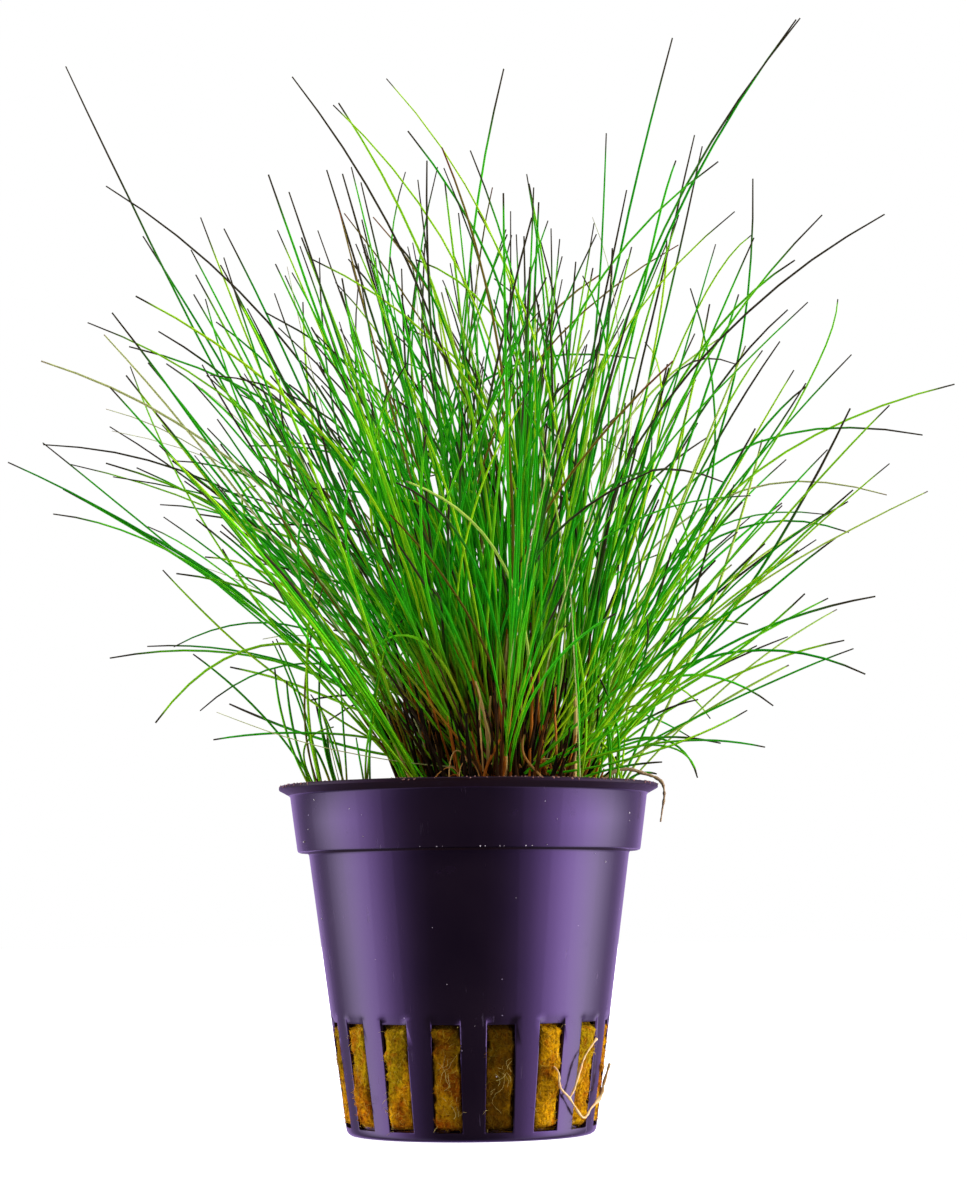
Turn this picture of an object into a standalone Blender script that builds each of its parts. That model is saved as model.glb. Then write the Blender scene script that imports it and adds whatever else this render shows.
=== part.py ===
"""Dwarf hairgrass in its net pot: slotted pot, wool plug, root crown, blade tufts and side shoots.

Metres, +Z up. The origin is the middle of the pot's flat base, and -Y is the side that faces the viewer.
"""

import math
import random

import bmesh
import bpy
import numpy as np
from mathutils import Vector

MM = 0.001
WELD = 0.001 * MM
PARALLEL = 1e-18
UP = Vector((0.0, 0.0, 1.0))

# Net pot
POT_HEIGHT = 49.0 * MM
RIM_RADIUS = 27.0 * MM
RIM_LIP = 0.6 * MM
FLARE_FOOT = 47.6 * MM
COLLAR_TOP_RADIUS = 25.4 * MM
COLLAR_FOOT_RADIUS = 24.4 * MM
COLLAR_FOOT = 39.6 * MM
BODY_TOP_RADIUS = 22.8 * MM
BASE_RADIUS = 17.5 * MM
BASE_ROUND = 1.0 * MM
BASE_CHAMFER = 0.3 * MM
WALL = 0.8 * MM
FLOOR = 1.0 * MM
POT_STEPS = 44

# Slots in the pot's wall and floor
SLOTS = 16
FIRST_SLOT = math.radians(-9.8)
SLOT_WIDTH = 3.9 * MM
SLOT_FOOT = 1.3 * MM
SLOT_TOP = 15.8 * MM
VENTS = 8
VENT_WIDTH = 2.4 * MM
VENT_START = 6.5 * MM
VENT_END = 14.0 * MM
CUTTER_DEPTH = 8.0 * MM

# Wool plug, clear of the pot by this much
WOOL_GAP = 0.5 * MM
WOOL_TOP = 47.2 * MM
WOOL_SHOULDER = 45.6 * MM
WOOL_ROUND = 0.6 * MM
LEDGE_DROP = 0.1 * MM
WOOL_FLAT_RADIUS = 16.0 * MM
WOOL_STEPS = 26

# Root crown, a low dome on the wool
CROWN_X = 4.5 * MM
CROWN_RADIUS = 14.5 * MM
CROWN_FOOT = 47.5 * MM
CROWN_RISE = 4.5 * MM
CROWN_EDGE = 0.6 * MM
CROWN_STEPS = 24
CROWN_RINGS = 4

# Blades: the outline was measured from this eye point, as if every blade stood in the plane y = 0
EYE = Vector((2.4 * MM, -420.0 * MM, 30.0 * MM))
BLADE_ROOT = 0.36 * MM
BLADE_MIDDLE = 0.29 * MM
BLADE_TIP = 0.09 * MM
TAPER_START = 0.6
DEPTH_SCATTER = 3.0 * MM
SHEATH_ROOT = 1.2 * MM
SHEATH_TOP = 0.6 * MM
SHEATH_HEIGHT = 7.0 * MM
SHEATH_SIDES = 7
SHEATH_RUNS = 3
SHEATH_UPRIGHT = 0.5
START_SHARE = 0.15
START_SPREAD = 0.3 * MM
SEAT_GAP = 0.35 * MM
CLEAR = 0.3 * MM
OUTWARD_ARCH = 0.12
LEAST_SHARE = 0.25
MOST_SHARE = 0.85
DEGREES_PER_BEND = 10.0
STRAIGHT_RUNS = 2
MOST_RUNS = 7

# Where a sheaf of the fan may stand: its foot follows its lean, and its tips stray in depth
ROOT_REACH = 60.0 * MM
ROOT_SHARE = 0.6
ROOT_SPREAD = 4.5 * MM
ROOT_LIMIT = 0.9
DEPTH_FLARE = 1.2
WIDE_LEAN = 45.0 * MM
SWAY = 16.0 * MM
WIDE_SWAY = 8.0 * MM
TRIES = 320
SEED = 26

# Each sheaf's blades, left to right round the fan: tip x, tip z, then a point on the way, in millimetres
FAN = [
    [(-44.7, 58.4, -33.9, 68.0), (-36.4, 55.9, -30.0, 56.7)],
    [(-45.9, 69.4, -26.6, 67.0), (-42.1, 69.3, -34.7, 72.1), (-34.1, 61.0, -28.9, 58.7), (-34.0, 66.3)],
    [(-66.1, 96.3, -37.6, 80.1), (-58.1, 92.3), (-61.1, 99.1, -49.3, 89.4), (-43.7, 80.4, -26.6, 64.4)],
    [(-43.6, 88.1), (-38.9, 87.7)],
    [(-42.4, 96.3), (-41.0, 95.4), (-40.6, 93.3), (-33.4, 86.7)],
    [(-61.4, 111.1, -41.9, 102.0), (-54.7, 116.7, -37.6, 107.7), (-52.3, 114.9), (-45.9, 110.7)],
    [(-44.4, 115.3, -35.7, 109.3), (-39.4, 107.7), (-37.3, 101.0), (-36.4, 108.6)],
    [(-58.1, 154.9, -35.0, 107.4), (-52.1, 136.9, -32.9, 121.3), (-46.7, 129.4), (-39.3, 120.7)],
    [(-39.7, 127.3), (-39.0, 123.6), (-37.6, 120.0, -33.9, 107.7)],
    [(-38.3, 132.1, -27.6, 104.9), (-35.4, 125.0), (-34.9, 130.4)],
    [(-28.4, 138.4, -21.9, 119.4), (-27.1, 130.1), (-27.4, 125.1), (-23.6, 129.0)],
    [(-24.9, 153.0, -13.6, 135.7), (-19.9, 139.0), (-17.6, 138.4)],
    [(-18.9, 148.7, -3.4, 128.9), (-18.1, 149.0, -10.4, 135.4), (-16.3, 139.4), (-14.9, 137.1)],
    [(-11.1, 152.6, -0.1, 137.3), (-8.0, 144.7, 1.6, 129.7), (-8.4, 138.6, -10.4, 129.6), (-6.6, 137.4)],
    [(-3.7, 139.3, -6.4, 126.0), (-2.7, 137.3), (-0.7, 132.4), (1.1, 141.7, 6.0, 127.1)],
    [(6.1, 153.9, 1.6, 130.7), (6.9, 132.6), (9.3, 138.1, 11.4, 121.7)],
    [(10.3, 136.1), (11.0, 133.9), (14.0, 128.4)],
    [(21.0, 144.1, 20.1, 128.1), (16.3, 125.0), (19.9, 115.3), (30.9, 158.3, 24.7, 134.7)],
    [(33.9, 143.7), (35.0, 142.0, 28.4, 114.3), (31.1, 139.9, 29.4, 134.7)],
    [(49.7, 161.1, 24.7, 119.7), (49.1, 160.9, 25.6, 119.4), (37.3, 139.7, 24.7, 128.6), (36.7, 127.4)],
    [(42.3, 137.1, 40.7, 116.1), (42.3, 128.3), (32.9, 120.9, 36.1, 104.7)],
    [(52.3, 131.6, 41.1, 119.0), (47.0, 117.6, 40.4, 111.0), (47.7, 108.7)],
    [(61.4, 131.6, 41.9, 117.9), (54.3, 119.1, 53.1, 113.9), (56.1, 110.9)],
    [(70.9, 106.4, 36.4, 89.1), (66.1, 99.0, 45.1, 99.0), (52.3, 97.0)],
    [(45.6, 88.9), (43.0, 83.4)],
    [(60.7, 90.3, 48.1, 92.3), (55.1, 89.4, 42.3, 81.1), (55.1, 84.9, 47.4, 86.6), (50.4, 83.9)],
    [(48.6, 76.1, 43.7, 71.7), (43.6, 76.7)],
    [(51.9, 75.4, 40.0, 69.1), (58.7, 75.6, 49.1, 73.4), (46.0, 69.9)],
    [(54.1, 69.3, 38.3, 64.4), (55.4, 68.1, 40.1, 61.9)],
    [(57.0, 64.4, 43.7, 68.0), (43.7, 60.0, 36.4, 64.0)],
    [(42.4, 54.1, 32.7, 55.0), (32.6, 50.3, 31.0, 53.1)],
]

# Sheaves that lean towards the viewer and away: side, turn from that side, lean, length of the longest blade
FILL = [
    (-1, -58, 42, 70), (-1, -40, 28, 84), (-1, -22, 54, 68), (-1, -4, 36, 84),
    (-1, 17, 62, 62), (-1, 38, 24, 82), (-1, 57, 44, 68),
    (1, -58, 38, 72), (1, -42, 56, 66), (1, -20, 26, 88), (1, 2, 46, 76),
    (1, 22, 60, 64), (1, 44, 34, 80), (1, 58, 48, 66),
]
FILL_BLADES = 4
FILL_ROOT_RADII = (2.0 * MM, 12.0 * MM)
FILL_ROOT_STRAY = 3.0 * MM
FILL_TURN = 7.0
FILL_TURN_STRAY = 8.6
FILL_LEAN_STRAY = 5.0
BLADE_TURN_STRAY = 1.7
BLADE_LEAN_STRAY = 3.0
FILL_SHORTER = 0.09

# Shoots from runners by the rim: foot x and y, then blades as in the fan, in millimetres
SHOOTS = [
    (-21.9, 1.0, [(-27.6, 66.0, -25.9, 57.0), (-25.9, 64.2, -24.6, 56.0), (-22.9, 55.2)]),
    (-20.6, -6.0, [(-21.6, 79.5, -23.0, 70.0), (-27.4, 70.3, -23.9, 61.4)]),
    (-19.0, 6.5, [(-21.0, 67.7, -20.9, 57.7), (-21.9, 61.7)]),
    (-17.6, -1.5, [(-18.3, 64.6, -18.0, 61.0), (-21.3, 61.0, -20.6, 58.9)]),
    (-14.6, -10.5, [(-6.7, 87.4, -13.2, 61.0), (-16.0, 56.0)]),
    (15.0, -15.0, [(14.8, 77.4, 15.8, 61.7)]),
    (20.2, -7.0, [(20.9, 69.3, 20.0, 59.7), (18.7, 64.6, 20.6, 60.2)]),
    (21.3, 1.5, [(25.1, 81.0, 23.2, 63.7)]),
    (20.9, 7.8, [(36.0, 87.4, 29.4, 66.8)]),
]
SHOOT_FOOT_RADIUS = 0.75 * MM
SHOOT_TOP_RADIUS = 0.45 * MM
SHOOT_STRAY_X = 0.4 * MM
SHOOT_STRAY_Y = 1.0 * MM
SHOOT_HEIGHT = 4.0 * MM
SHOOT_START_SPREAD = 0.12 * MM

# A loose root that hangs out of a slot, with its side branch, and a dry leaf bent over the rim
STRAY_ROOT = [
    (10.96, -14.28, 10.3), (12.0, -15.3, 9.2), (12.2, -14.9, 7.2), (13.5, -13.4, 5.6), (15.4, -10.8, 2.8),
    (16.6, -9.1, 4.0), (18.0, -6.6, 5.4), (18.5, -5.6, 7.1), (19.4, -5.2, 9.9),
]
STRAY_BRANCH = [
    (13.5, -13.4, 5.6), (14.2, -13.0, 6.9), (15.0, -12.7, 9.4), (15.8, -12.0, 11.3), (17.4, -10.2, 13.5),
]
STRAY_WIDTHS = (0.24, 0.3, 0.16)
DRY_LEAF = [
    (18.6, -3.2, 48.9), (20.6, -2.9, 50.6), (22.8, -2.6, 51.0), (24.9, -2.3, 50.4), (26.6, -2.1, 49.8),
    (27.6, -2.0, 48.9), (27.8, -2.0, 47.2), (27.5, -2.1, 45.4), (27.2, -2.2, 43.5),
]
DRY_LEAF_WIDTHS = (0.2, 0.22, 0.12)
ROOT_SIDES = 5
BLADE_SIDES = 3

# Finishes: colour and roughness
PLASTIC = ((0.014, 0.011, 0.017), 0.3)
WOOL = ((0.31, 0.13, 0.012), 1.0)
CROWN = ((0.03, 0.014, 0.006), 0.9)
LEAF = ((0.025, 0.19, 0.012), 0.4)
SHOOT = ((0.13, 0.3, 0.015), 0.45)
ROOT = ((0.72, 0.45, 0.2), 0.6)
STRAW = ((0.2, 0.09, 0.035), 0.7)


def clear_scene():
    for thing in list(bpy.data.objects):
        bpy.data.objects.remove(thing, do_unlink=True)


def new_collection(name):
    collection = bpy.data.collections.new(name)
    bpy.context.scene.collection.children.link(collection)
    return collection


def new_material(name, finish):
    colour, roughness = finish
    material = bpy.data.materials.new(name)
    material.use_nodes = True
    shader = material.node_tree.nodes["Principled BSDF"]
    shader.inputs["Base Color"].default_value = (*colour, 1.0)
    shader.inputs["Roughness"].default_value = roughness
    shader.inputs["Metallic"].default_value = 0.0
    material.diffuse_color = (*colour, 1.0)
    return material


def add_object(name, data, collection, material=None):
    thing = bpy.data.objects.new(name, data)
    collection.objects.link(thing)
    if material is not None:
        data.materials.append(material)
    return thing


def as_helper(thing):
    """A cutter, an operand or a guide: drawn as wire and left out of a render."""
    thing.hide_render = True
    thing.display_type = "WIRE"
    return thing


def turned(name, profile, steps, collection, material):
    """A solid turned about Z from (radius, height) points, which run down its outer side."""
    mesh = bpy.data.meshes.new(name)
    points = [(radius, 0.0, height) for radius, height in profile]
    mesh.from_pydata(points, [(i, i + 1) for i in range(len(points) - 1)], [])
    thing = add_object(name, mesh, collection, material)
    screw = thing.modifiers.new("Turn", "SCREW")
    screw.steps = steps
    screw.render_steps = steps
    screw.use_merge_vertices = True
    screw.merge_threshold = WELD
    return thing


def join_with(thing, collection, operation):
    modifier = thing.modifiers.new(operation.title(), "BOOLEAN")
    modifier.operation = operation
    modifier.operand_type = "COLLECTION"
    modifier.collection = collection
    modifier.solver = "EXACT"


def body_radius(height):
    """The outer radius of the pot's body at a height."""
    return BASE_RADIUS + (BODY_TOP_RADIUS - BASE_RADIUS) * height / COLLAR_FOOT


def add_slot_cutter(name, centre, size, turn, collection):
    mesh = bpy.data.meshes.new(name)
    block = bmesh.new()
    bmesh.ops.create_cube(block, size=1.0)
    bmesh.ops.scale(block, vec=size, verts=block.verts)
    bmesh.ops.translate(block, vec=centre, verts=block.verts)
    block.to_mesh(mesh)
    block.free()
    cutter = as_helper(add_object(name, mesh, collection))
    cutter.rotation_euler.z = turn


def make_pot(parts):
    cutters = new_collection("pot_cutters")
    slot_size = (SLOT_WIDTH, CUTTER_DEPTH, SLOT_TOP - SLOT_FOOT)
    slot_height = (SLOT_TOP + SLOT_FOOT) / 2
    slot_middle = Vector((0.0, -body_radius(slot_height), slot_height))
    for i in range(SLOTS):
        turn = FIRST_SLOT + math.tau * i / SLOTS
        add_slot_cutter(f"slot_cutter_{i:02d}", slot_middle, slot_size, turn, cutters)
    vent_size = (VENT_WIDTH, VENT_END - VENT_START, CUTTER_DEPTH)
    vent_middle = Vector((0.0, -(VENT_START + VENT_END) / 2, FLOOR / 2))
    for i in range(VENTS):
        turn = FIRST_SLOT + math.tau * i / VENTS
        add_slot_cutter(f"vent_cutter_{i:02d}", vent_middle, vent_size, turn, cutters)

    foot = body_radius(BASE_ROUND)
    profile = [
        (0.0, FLOOR),
        (body_radius(FLOOR) - WALL - BASE_ROUND / 2, FLOOR),
        (body_radius(FLOOR + BASE_ROUND / 2) - WALL, FLOOR + BASE_ROUND / 2),
        (BODY_TOP_RADIUS - WALL, COLLAR_FOOT + WALL),
        (COLLAR_FOOT_RADIUS - WALL, COLLAR_FOOT + WALL),
        (COLLAR_TOP_RADIUS - WALL, POT_HEIGHT),
        (RIM_RADIUS, POT_HEIGHT),
        (RIM_RADIUS, POT_HEIGHT - RIM_LIP),
        (COLLAR_TOP_RADIUS, FLARE_FOOT),
        (COLLAR_FOOT_RADIUS, COLLAR_FOOT),
        (BODY_TOP_RADIUS, COLLAR_FOOT),
        (foot, BASE_ROUND),
        (foot - BASE_CHAMFER, BASE_CHAMFER),
        (foot - BASE_ROUND, 0.0),
        (0.0, 0.0),
    ]
    pot = turned("net_pot", profile, POT_STEPS, parts, new_material("pot_plastic", PLASTIC))
    join_with(pot, cutters, "DIFFERENCE")


def make_wool(parts):
    bottom = FLOOR + WOOL_GAP
    top_radius = COLLAR_TOP_RADIUS - WALL - 2 * WOOL_GAP
    ledge_radius = BODY_TOP_RADIUS - WALL - WOOL_GAP
    base_radius = body_radius(bottom) - WALL - WOOL_GAP
    ledge = COLLAR_FOOT + WALL + WOOL_GAP
    profile = [
        (0.0, WOOL_TOP),
        (WOOL_FLAT_RADIUS, WOOL_TOP),
        (top_radius - WOOL_ROUND, WOOL_SHOULDER + WOOL_ROUND),
        (top_radius, WOOL_SHOULDER - WOOL_ROUND),
        (COLLAR_FOOT_RADIUS - WALL - WOOL_GAP, ledge),
        (ledge_radius, ledge - LEDGE_DROP),
        (base_radius, bottom + BASE_ROUND),
        (base_radius - BASE_ROUND, bottom),
        (0.0, bottom),
    ]
    turned("wool_plug", profile, WOOL_STEPS, parts, new_material("wool", WOOL))


def dome_height(radius):
    """The height of the crown's surface at a distance from its middle."""
    share = min(radius / CROWN_RADIUS, 1.0)
    return CROWN_FOOT + CROWN_EDGE + CROWN_RISE * (1.0 - share * share)


def dome_normal(offset):
    slope = 2.0 * CROWN_RISE / CROWN_RADIUS**2
    return Vector((slope * offset.x, slope * offset.y, 1.0)).normalized()


def make_crown(parts):
    rings = [CROWN_RADIUS * i / CROWN_RINGS for i in range(CROWN_RINGS + 1)]
    profile = [(radius, dome_height(radius)) for radius in rings]
    profile += [(CROWN_RADIUS - CROWN_EDGE, CROWN_FOOT), (0.0, CROWN_FOOT)]
    crown = turned("root_crown", profile, CROWN_STEPS, parts, new_material("crown_sheaths", CROWN))
    crown.location.x = CROWN_X


def seen_point(x, z, depth):
    """A point that looks to stand at x, z in the plane y = 0, moved along the sight line to its depth."""
    flat = Vector((x, 0.0, z))
    return EYE + (flat - EYE) * ((depth - EYE.y) / -EYE.y)


def way_share(root, via, tip):
    """How much of the way from root to tip lies before via."""
    first = (via - root).length
    return min(max(first / (first + (tip - via).length), LEAST_SHARE), MOST_SHARE)


def bend_through(root, via, tip):
    """The middle point of a quadratic curve from root to tip that passes through via."""
    share = way_share(root, via, tip)
    rest = 1.0 - share
    return (via - rest * rest * root - share * share * tip) / (2.0 * share * rest)


def arched_bend(root, tip):
    """The middle point of a blade that rises first and then leans out."""
    across = Vector((tip.x - root.x, tip.y - root.y, 0.0))
    return (root + tip) / 2 + UP * OUTWARD_ARCH * across.length


def blade_path(root, bend, tip):
    """Points along the blade, more of them where it turns more."""
    turn = math.degrees((bend - root).angle(tip - bend))
    steps = min(STRAIGHT_RUNS + int(turn / DEGREES_PER_BEND), MOST_RUNS)
    shares = [i / steps for i in range(steps + 1)]
    return [(1 - t) ** 2 * root + 2 * t * (1 - t) * bend + t * t * tip for t in shares]


def blade_widths(count):
    """The blade's radius at each of its points: full for most of its length, then a fine tip."""
    widths = []
    for i in range(count):
        share = i / (count - 1)
        if share < TAPER_START:
            widths.append(BLADE_ROOT + (BLADE_MIDDLE - BLADE_ROOT) * share / TAPER_START)
        else:
            beyond = (share - TAPER_START) / (1.0 - TAPER_START)
            widths.append(BLADE_MIDDLE + (BLADE_TIP - BLADE_MIDDLE) * beyond)
    return widths


def capsules_along(path, widths):
    """Start, end and radius of each straight run of a strand."""
    radii = [max(pair) for pair in zip(widths, widths[1:])]
    return np.array(path[:-1]), np.array(path[1:]), np.array(radii)


class Tuft:
    """Blades that rise from one sheath: its foot, its direction and the path of each blade."""

    def __init__(self, foot, blades, spread, sheath, rng):
        self.sheath_root, self.sheath_top, self.sheath_height = sheath
        heading = sum(((bend - foot).normalized() for bend, _ in blades), Vector())
        self.axis = (heading.normalized() + SHEATH_UPRIGHT * UP).normalized()
        self.foot = foot
        self.paths = []
        for bend, tip in blades:
            aside = Vector((rng.uniform(-1, 1), rng.uniform(-1, 1), 0.0)) * spread
            start = foot + self.axis * START_SHARE * self.sheath_height + aside
            self.paths.append(blade_path(start, bend, tip))

    def lift(self, normal):
        """Raises the foot so that the sheath's flat end stays clear of the surface that it stands on."""
        tilt = self.axis.angle(normal)
        rise = normal * (SEAT_GAP + self.sheath_root * math.sin(tilt))
        self.foot = self.foot + rise
        for path in self.paths:
            path[0] = path[0] + rise

    def capsules(self):
        """Start, end and radius of each straight run, for the distance to other tufts."""
        levels = [i / SHEATH_RUNS for i in range(SHEATH_RUNS + 1)]
        sheath = [self.foot + self.axis * self.sheath_height * level for level in levels]
        radii = [self.sheath_root + (self.sheath_top - self.sheath_root) * level for level in levels]
        runs = [capsules_along(sheath, radii)]
        runs += [capsules_along(path, blade_widths(len(path))) for path in self.paths]
        return tuple(np.concatenate(rows) for rows in zip(*runs))


def dots(a, b):
    return np.einsum("...k,...k->...", a, b)


def clearance(one, other):
    """The smallest gap between two sets of capsules."""
    start_a, end_a, radius_a = one[0][:, None], one[1][:, None], one[2][:, None]
    start_b, end_b, radius_b = other[0][None], other[1][None], other[2][None]
    along_a, along_b, between = end_a - start_a, end_b - start_b, start_a - start_b
    a, b, c = dots(along_a, along_a), dots(along_a, along_b), dots(along_a, between)
    e, f = dots(along_b, along_b), dots(along_b, between)
    spare = np.maximum(a * e - b * b, PARALLEL)
    share_a = np.clip((b * f - c * e) / spare, 0.0, 1.0)
    share_b = np.clip((b * share_a + f) / e, 0.0, 1.0)
    share_a = np.clip((b * share_b - c) / a, 0.0, 1.0)
    apart = between + along_a * share_a[..., None] - along_b * share_b[..., None]
    return float((np.sqrt(dots(apart, apart)) - radius_a - radius_b).min())


def seat(x, y):
    """The point of the crown's surface above x, y, and the surface's normal there."""
    offset = Vector((x - CROWN_X, y, 0.0))
    return Vector((x, y, dome_height(offset.length))), dome_normal(offset)


def seen_blades(foot, rows, depth, rng):
    """Bend and tip of each blade of a row list, its tips near the given depth."""
    blades = []
    for row in rows:
        tip_depth = depth + rng.uniform(-DEPTH_SCATTER, DEPTH_SCATTER)
        tip = seen_point(row[0] * MM, row[1] * MM, tip_depth)
        if len(row) == 4:
            share = way_share(foot, seen_point(row[2] * MM, row[3] * MM, foot.y), tip)
            via = seen_point(row[2] * MM, row[3] * MM, foot.y + (tip_depth - foot.y) * share)
            blades.append((bend_through(foot, via, tip), tip))
        else:
            blades.append((arched_bend(foot, tip), tip))
    return blades


def fan_tuft(rows, rng, freedom):
    """One try at a sheaf of the fan: its foot by the lean of its blades, its depth by chance."""
    mean_x = sum(row[0] for row in rows) / len(rows) * MM
    lean = min(max((mean_x - CROWN_X) / ROOT_REACH, -1.0), 1.0)
    x = CROWN_X + CROWN_RADIUS * ROOT_SHARE * lean + rng.uniform(-ROOT_SPREAD, ROOT_SPREAD)
    widest = math.sqrt(max((ROOT_LIMIT * CROWN_RADIUS) ** 2 - (x - CROWN_X) ** 2, 0.0))
    y = rng.uniform(-widest, widest)
    foot, normal = seat(x, y)
    farthest = max(abs(row[0] * MM - CROWN_X) for row in rows)
    sway = freedom * (SWAY if farthest < WIDE_LEAN else WIDE_SWAY)
    depth = DEPTH_FLARE * y + rng.uniform(-sway, sway)
    sheath = (SHEATH_ROOT, SHEATH_TOP, SHEATH_HEIGHT)
    tuft = Tuft(foot, seen_blades(foot, rows, depth, rng), START_SPREAD, sheath, rng)
    tuft.lift(normal)
    return tuft


def fill_tuft(row, rng, freedom):
    """One try at a sheaf that leans towards the viewer or away."""
    side, turn, lean, length = row
    turn += rng.uniform(-FILL_TURN_STRAY, FILL_TURN_STRAY) * freedom
    lean += rng.uniform(-FILL_LEAN_STRAY, FILL_LEAN_STRAY) * freedom
    reach = rng.uniform(*FILL_ROOT_RADII)
    stray = rng.uniform(-FILL_ROOT_STRAY, FILL_ROOT_STRAY) * freedom
    x = CROWN_X + reach * math.sin(math.radians(turn)) + stray
    y = side * reach * math.cos(math.radians(turn))
    foot, normal = seat(x, y)
    blades = []
    for i in range(FILL_BLADES):
        aside = FILL_TURN * (i / (FILL_BLADES - 1) - 0.5)
        out = math.radians(turn + aside + rng.uniform(-BLADE_TURN_STRAY, BLADE_TURN_STRAY))
        down = math.radians(lean + rng.uniform(-BLADE_LEAN_STRAY, BLADE_LEAN_STRAY))
        size = length * MM * (1.0 - FILL_SHORTER * i)
        flat = Vector((math.sin(out), side * math.cos(out), 0.0))
        tip = foot + (flat * math.sin(down) + UP * math.cos(down)) * size
        blades.append((arched_bend(foot, tip), tip))
    sheath = (SHEATH_ROOT, SHEATH_TOP, SHEATH_HEIGHT)
    tuft = Tuft(foot, blades, START_SPREAD, sheath, rng)
    tuft.lift(normal)
    return tuft


def shoot_tuft(row, rng, freedom):
    """One try at a shoot by the rim, on the wool."""
    x, y, rows = row
    stray_x = rng.uniform(-SHOOT_STRAY_X, SHOOT_STRAY_X) * freedom
    stray_y = rng.uniform(-SHOOT_STRAY_Y, SHOOT_STRAY_Y) * freedom
    foot = Vector((x * MM + stray_x, y * MM + stray_y, WOOL_TOP))
    blades = seen_blades(foot, rows, foot.y, rng)
    sheath = (SHOOT_FOOT_RADIUS, SHOOT_TOP_RADIUS, SHOOT_HEIGHT)
    tuft = Tuft(foot, blades, SHOOT_START_SPREAD, sheath, rng)
    tuft.lift(UP)
    return tuft


def settle(rows, make, placed, rng):
    """Places one tuft per row where it stands clear of those already placed."""
    tufts = []
    for row in rows:
        best, best_gap = None, -1.0
        for attempt in range(TRIES):
            tuft = make(row, rng, 1.0 + attempt / TRIES)
            shape = tuft.capsules()
            gap = min((clearance(shape, other) for other in placed), default=1.0)
            if gap > best_gap:
                best, best_gap, best_shape = tuft, gap, shape
            if gap >= CLEAR:
                break
        placed.append(best_shape)
        tufts.append(best)
    return tufts


def make_section(sides, guides):
    """A closed polygon of 1 mm radius, which a curve sweeps along its path."""
    curve = bpy.data.curves.new(f"section_{sides}", "CURVE")
    curve.dimensions = "2D"
    spline = curve.splines.new("POLY")
    spline.points.add(sides - 1)
    for i, point in enumerate(spline.points):
        angle = -math.tau * i / sides
        point.co = (MM * math.cos(angle), MM * math.sin(angle), 0.0, 1.0)
    spline.use_cyclic_u = True
    return as_helper(add_object(f"section_{sides}", curve, guides))


def new_strand_curve(name, path, widths, section):
    """A curve object along the path, which carries the section at the given widths."""
    curve = bpy.data.curves.new(name, "CURVE")
    curve.dimensions = "3D"
    curve.bevel_mode = "OBJECT"
    curve.bevel_object = section
    curve.use_fill_caps = True
    spline = curve.splines.new("POLY")
    spline.points.add(len(path) - 1)
    for point, place, width in zip(spline.points, path, widths):
        point.co = (*place, 1.0)
        point.radius = width / MM
    return add_object(name, curve, bpy.context.scene.collection)


def swept_meshes(strands, section):
    """Closed meshes by name: the section swept along each strand's path, its size following the widths."""
    curves = [new_strand_curve(name, path, widths, section) for name, path, widths in strands]
    graph = bpy.context.evaluated_depsgraph_get()
    meshes = {}
    for thing in curves:
        mesh = bpy.data.meshes.new_from_object(thing.evaluated_get(graph))
        whole = bmesh.new()
        whole.from_mesh(mesh)
        bmesh.ops.remove_doubles(whole, verts=whole.verts, dist=WELD)
        bmesh.ops.recalc_face_normals(whole, faces=whole.faces)
        whole.to_mesh(mesh)
        whole.free()
        meshes[thing.name] = mesh
    for thing in curves:
        curve = thing.data
        bpy.data.objects.remove(thing)
        bpy.data.curves.remove(curve)
    return meshes


def make_tuft(name, tuft, blade_meshes, parts, helpers, material):
    """The sheath as a tapered cone along its axis, joined with its blades."""
    mesh = bpy.data.meshes.new(name)
    cone = bmesh.new()
    bmesh.ops.create_cone(
        cone,
        cap_ends=True,
        segments=SHEATH_SIDES,
        radius1=tuft.sheath_root,
        radius2=tuft.sheath_top,
        depth=tuft.sheath_height,
    )
    bmesh.ops.translate(cone, vec=(0.0, 0.0, tuft.sheath_height / 2), verts=cone.verts)
    cone.to_mesh(mesh)
    cone.free()
    thing = add_object(name, mesh, parts, material)
    thing.rotation_euler = tuft.axis.to_track_quat("Z", "Y").to_euler()
    thing.location = tuft.foot
    blades = bpy.data.collections.new(name + "_blades")
    helpers.children.link(blades)
    for i in range(len(tuft.paths)):
        blade_name = f"{name}_blade_{i}"
        as_helper(add_object(blade_name, blade_meshes[blade_name], blades))
    join_with(thing, blades, "UNION")


def strand_widths(count, ends):
    """Radii from the first to the middle to the last of three widths in millimetres."""
    first, middle, last = (width * MM for width in ends)
    widths = []
    for i in range(count):
        share = 2.0 * i / (count - 1)
        if share < 1.0:
            widths.append(first + (middle - first) * share)
        else:
            widths.append(middle + (last - middle) * (share - 1.0))
    return widths


def strand(name, points, ends):
    path = [Vector(point) * MM for point in points]
    return name, path, strand_widths(len(path), ends)


def make_loose_strands(parts, helpers):
    """The stray root with its branch, and the dry leaf."""
    strands = [
        strand("stray_root", STRAY_ROOT, STRAY_WIDTHS),
        strand("root_branch", STRAY_BRANCH, STRAY_WIDTHS),
        strand("dry_leaf", DRY_LEAF, DRY_LEAF_WIDTHS),
    ]
    meshes = swept_meshes(strands, make_section(ROOT_SIDES, helpers))
    root = add_object("stray_root", meshes["stray_root"], parts, new_material("root_cream", ROOT))
    branches = bpy.data.collections.new("root_branches")
    helpers.children.link(branches)
    as_helper(add_object("root_branch", meshes["root_branch"], branches))
    join_with(root, branches, "UNION")
    add_object("dry_leaf", meshes["dry_leaf"], parts, new_material("straw", STRAW))


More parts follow.
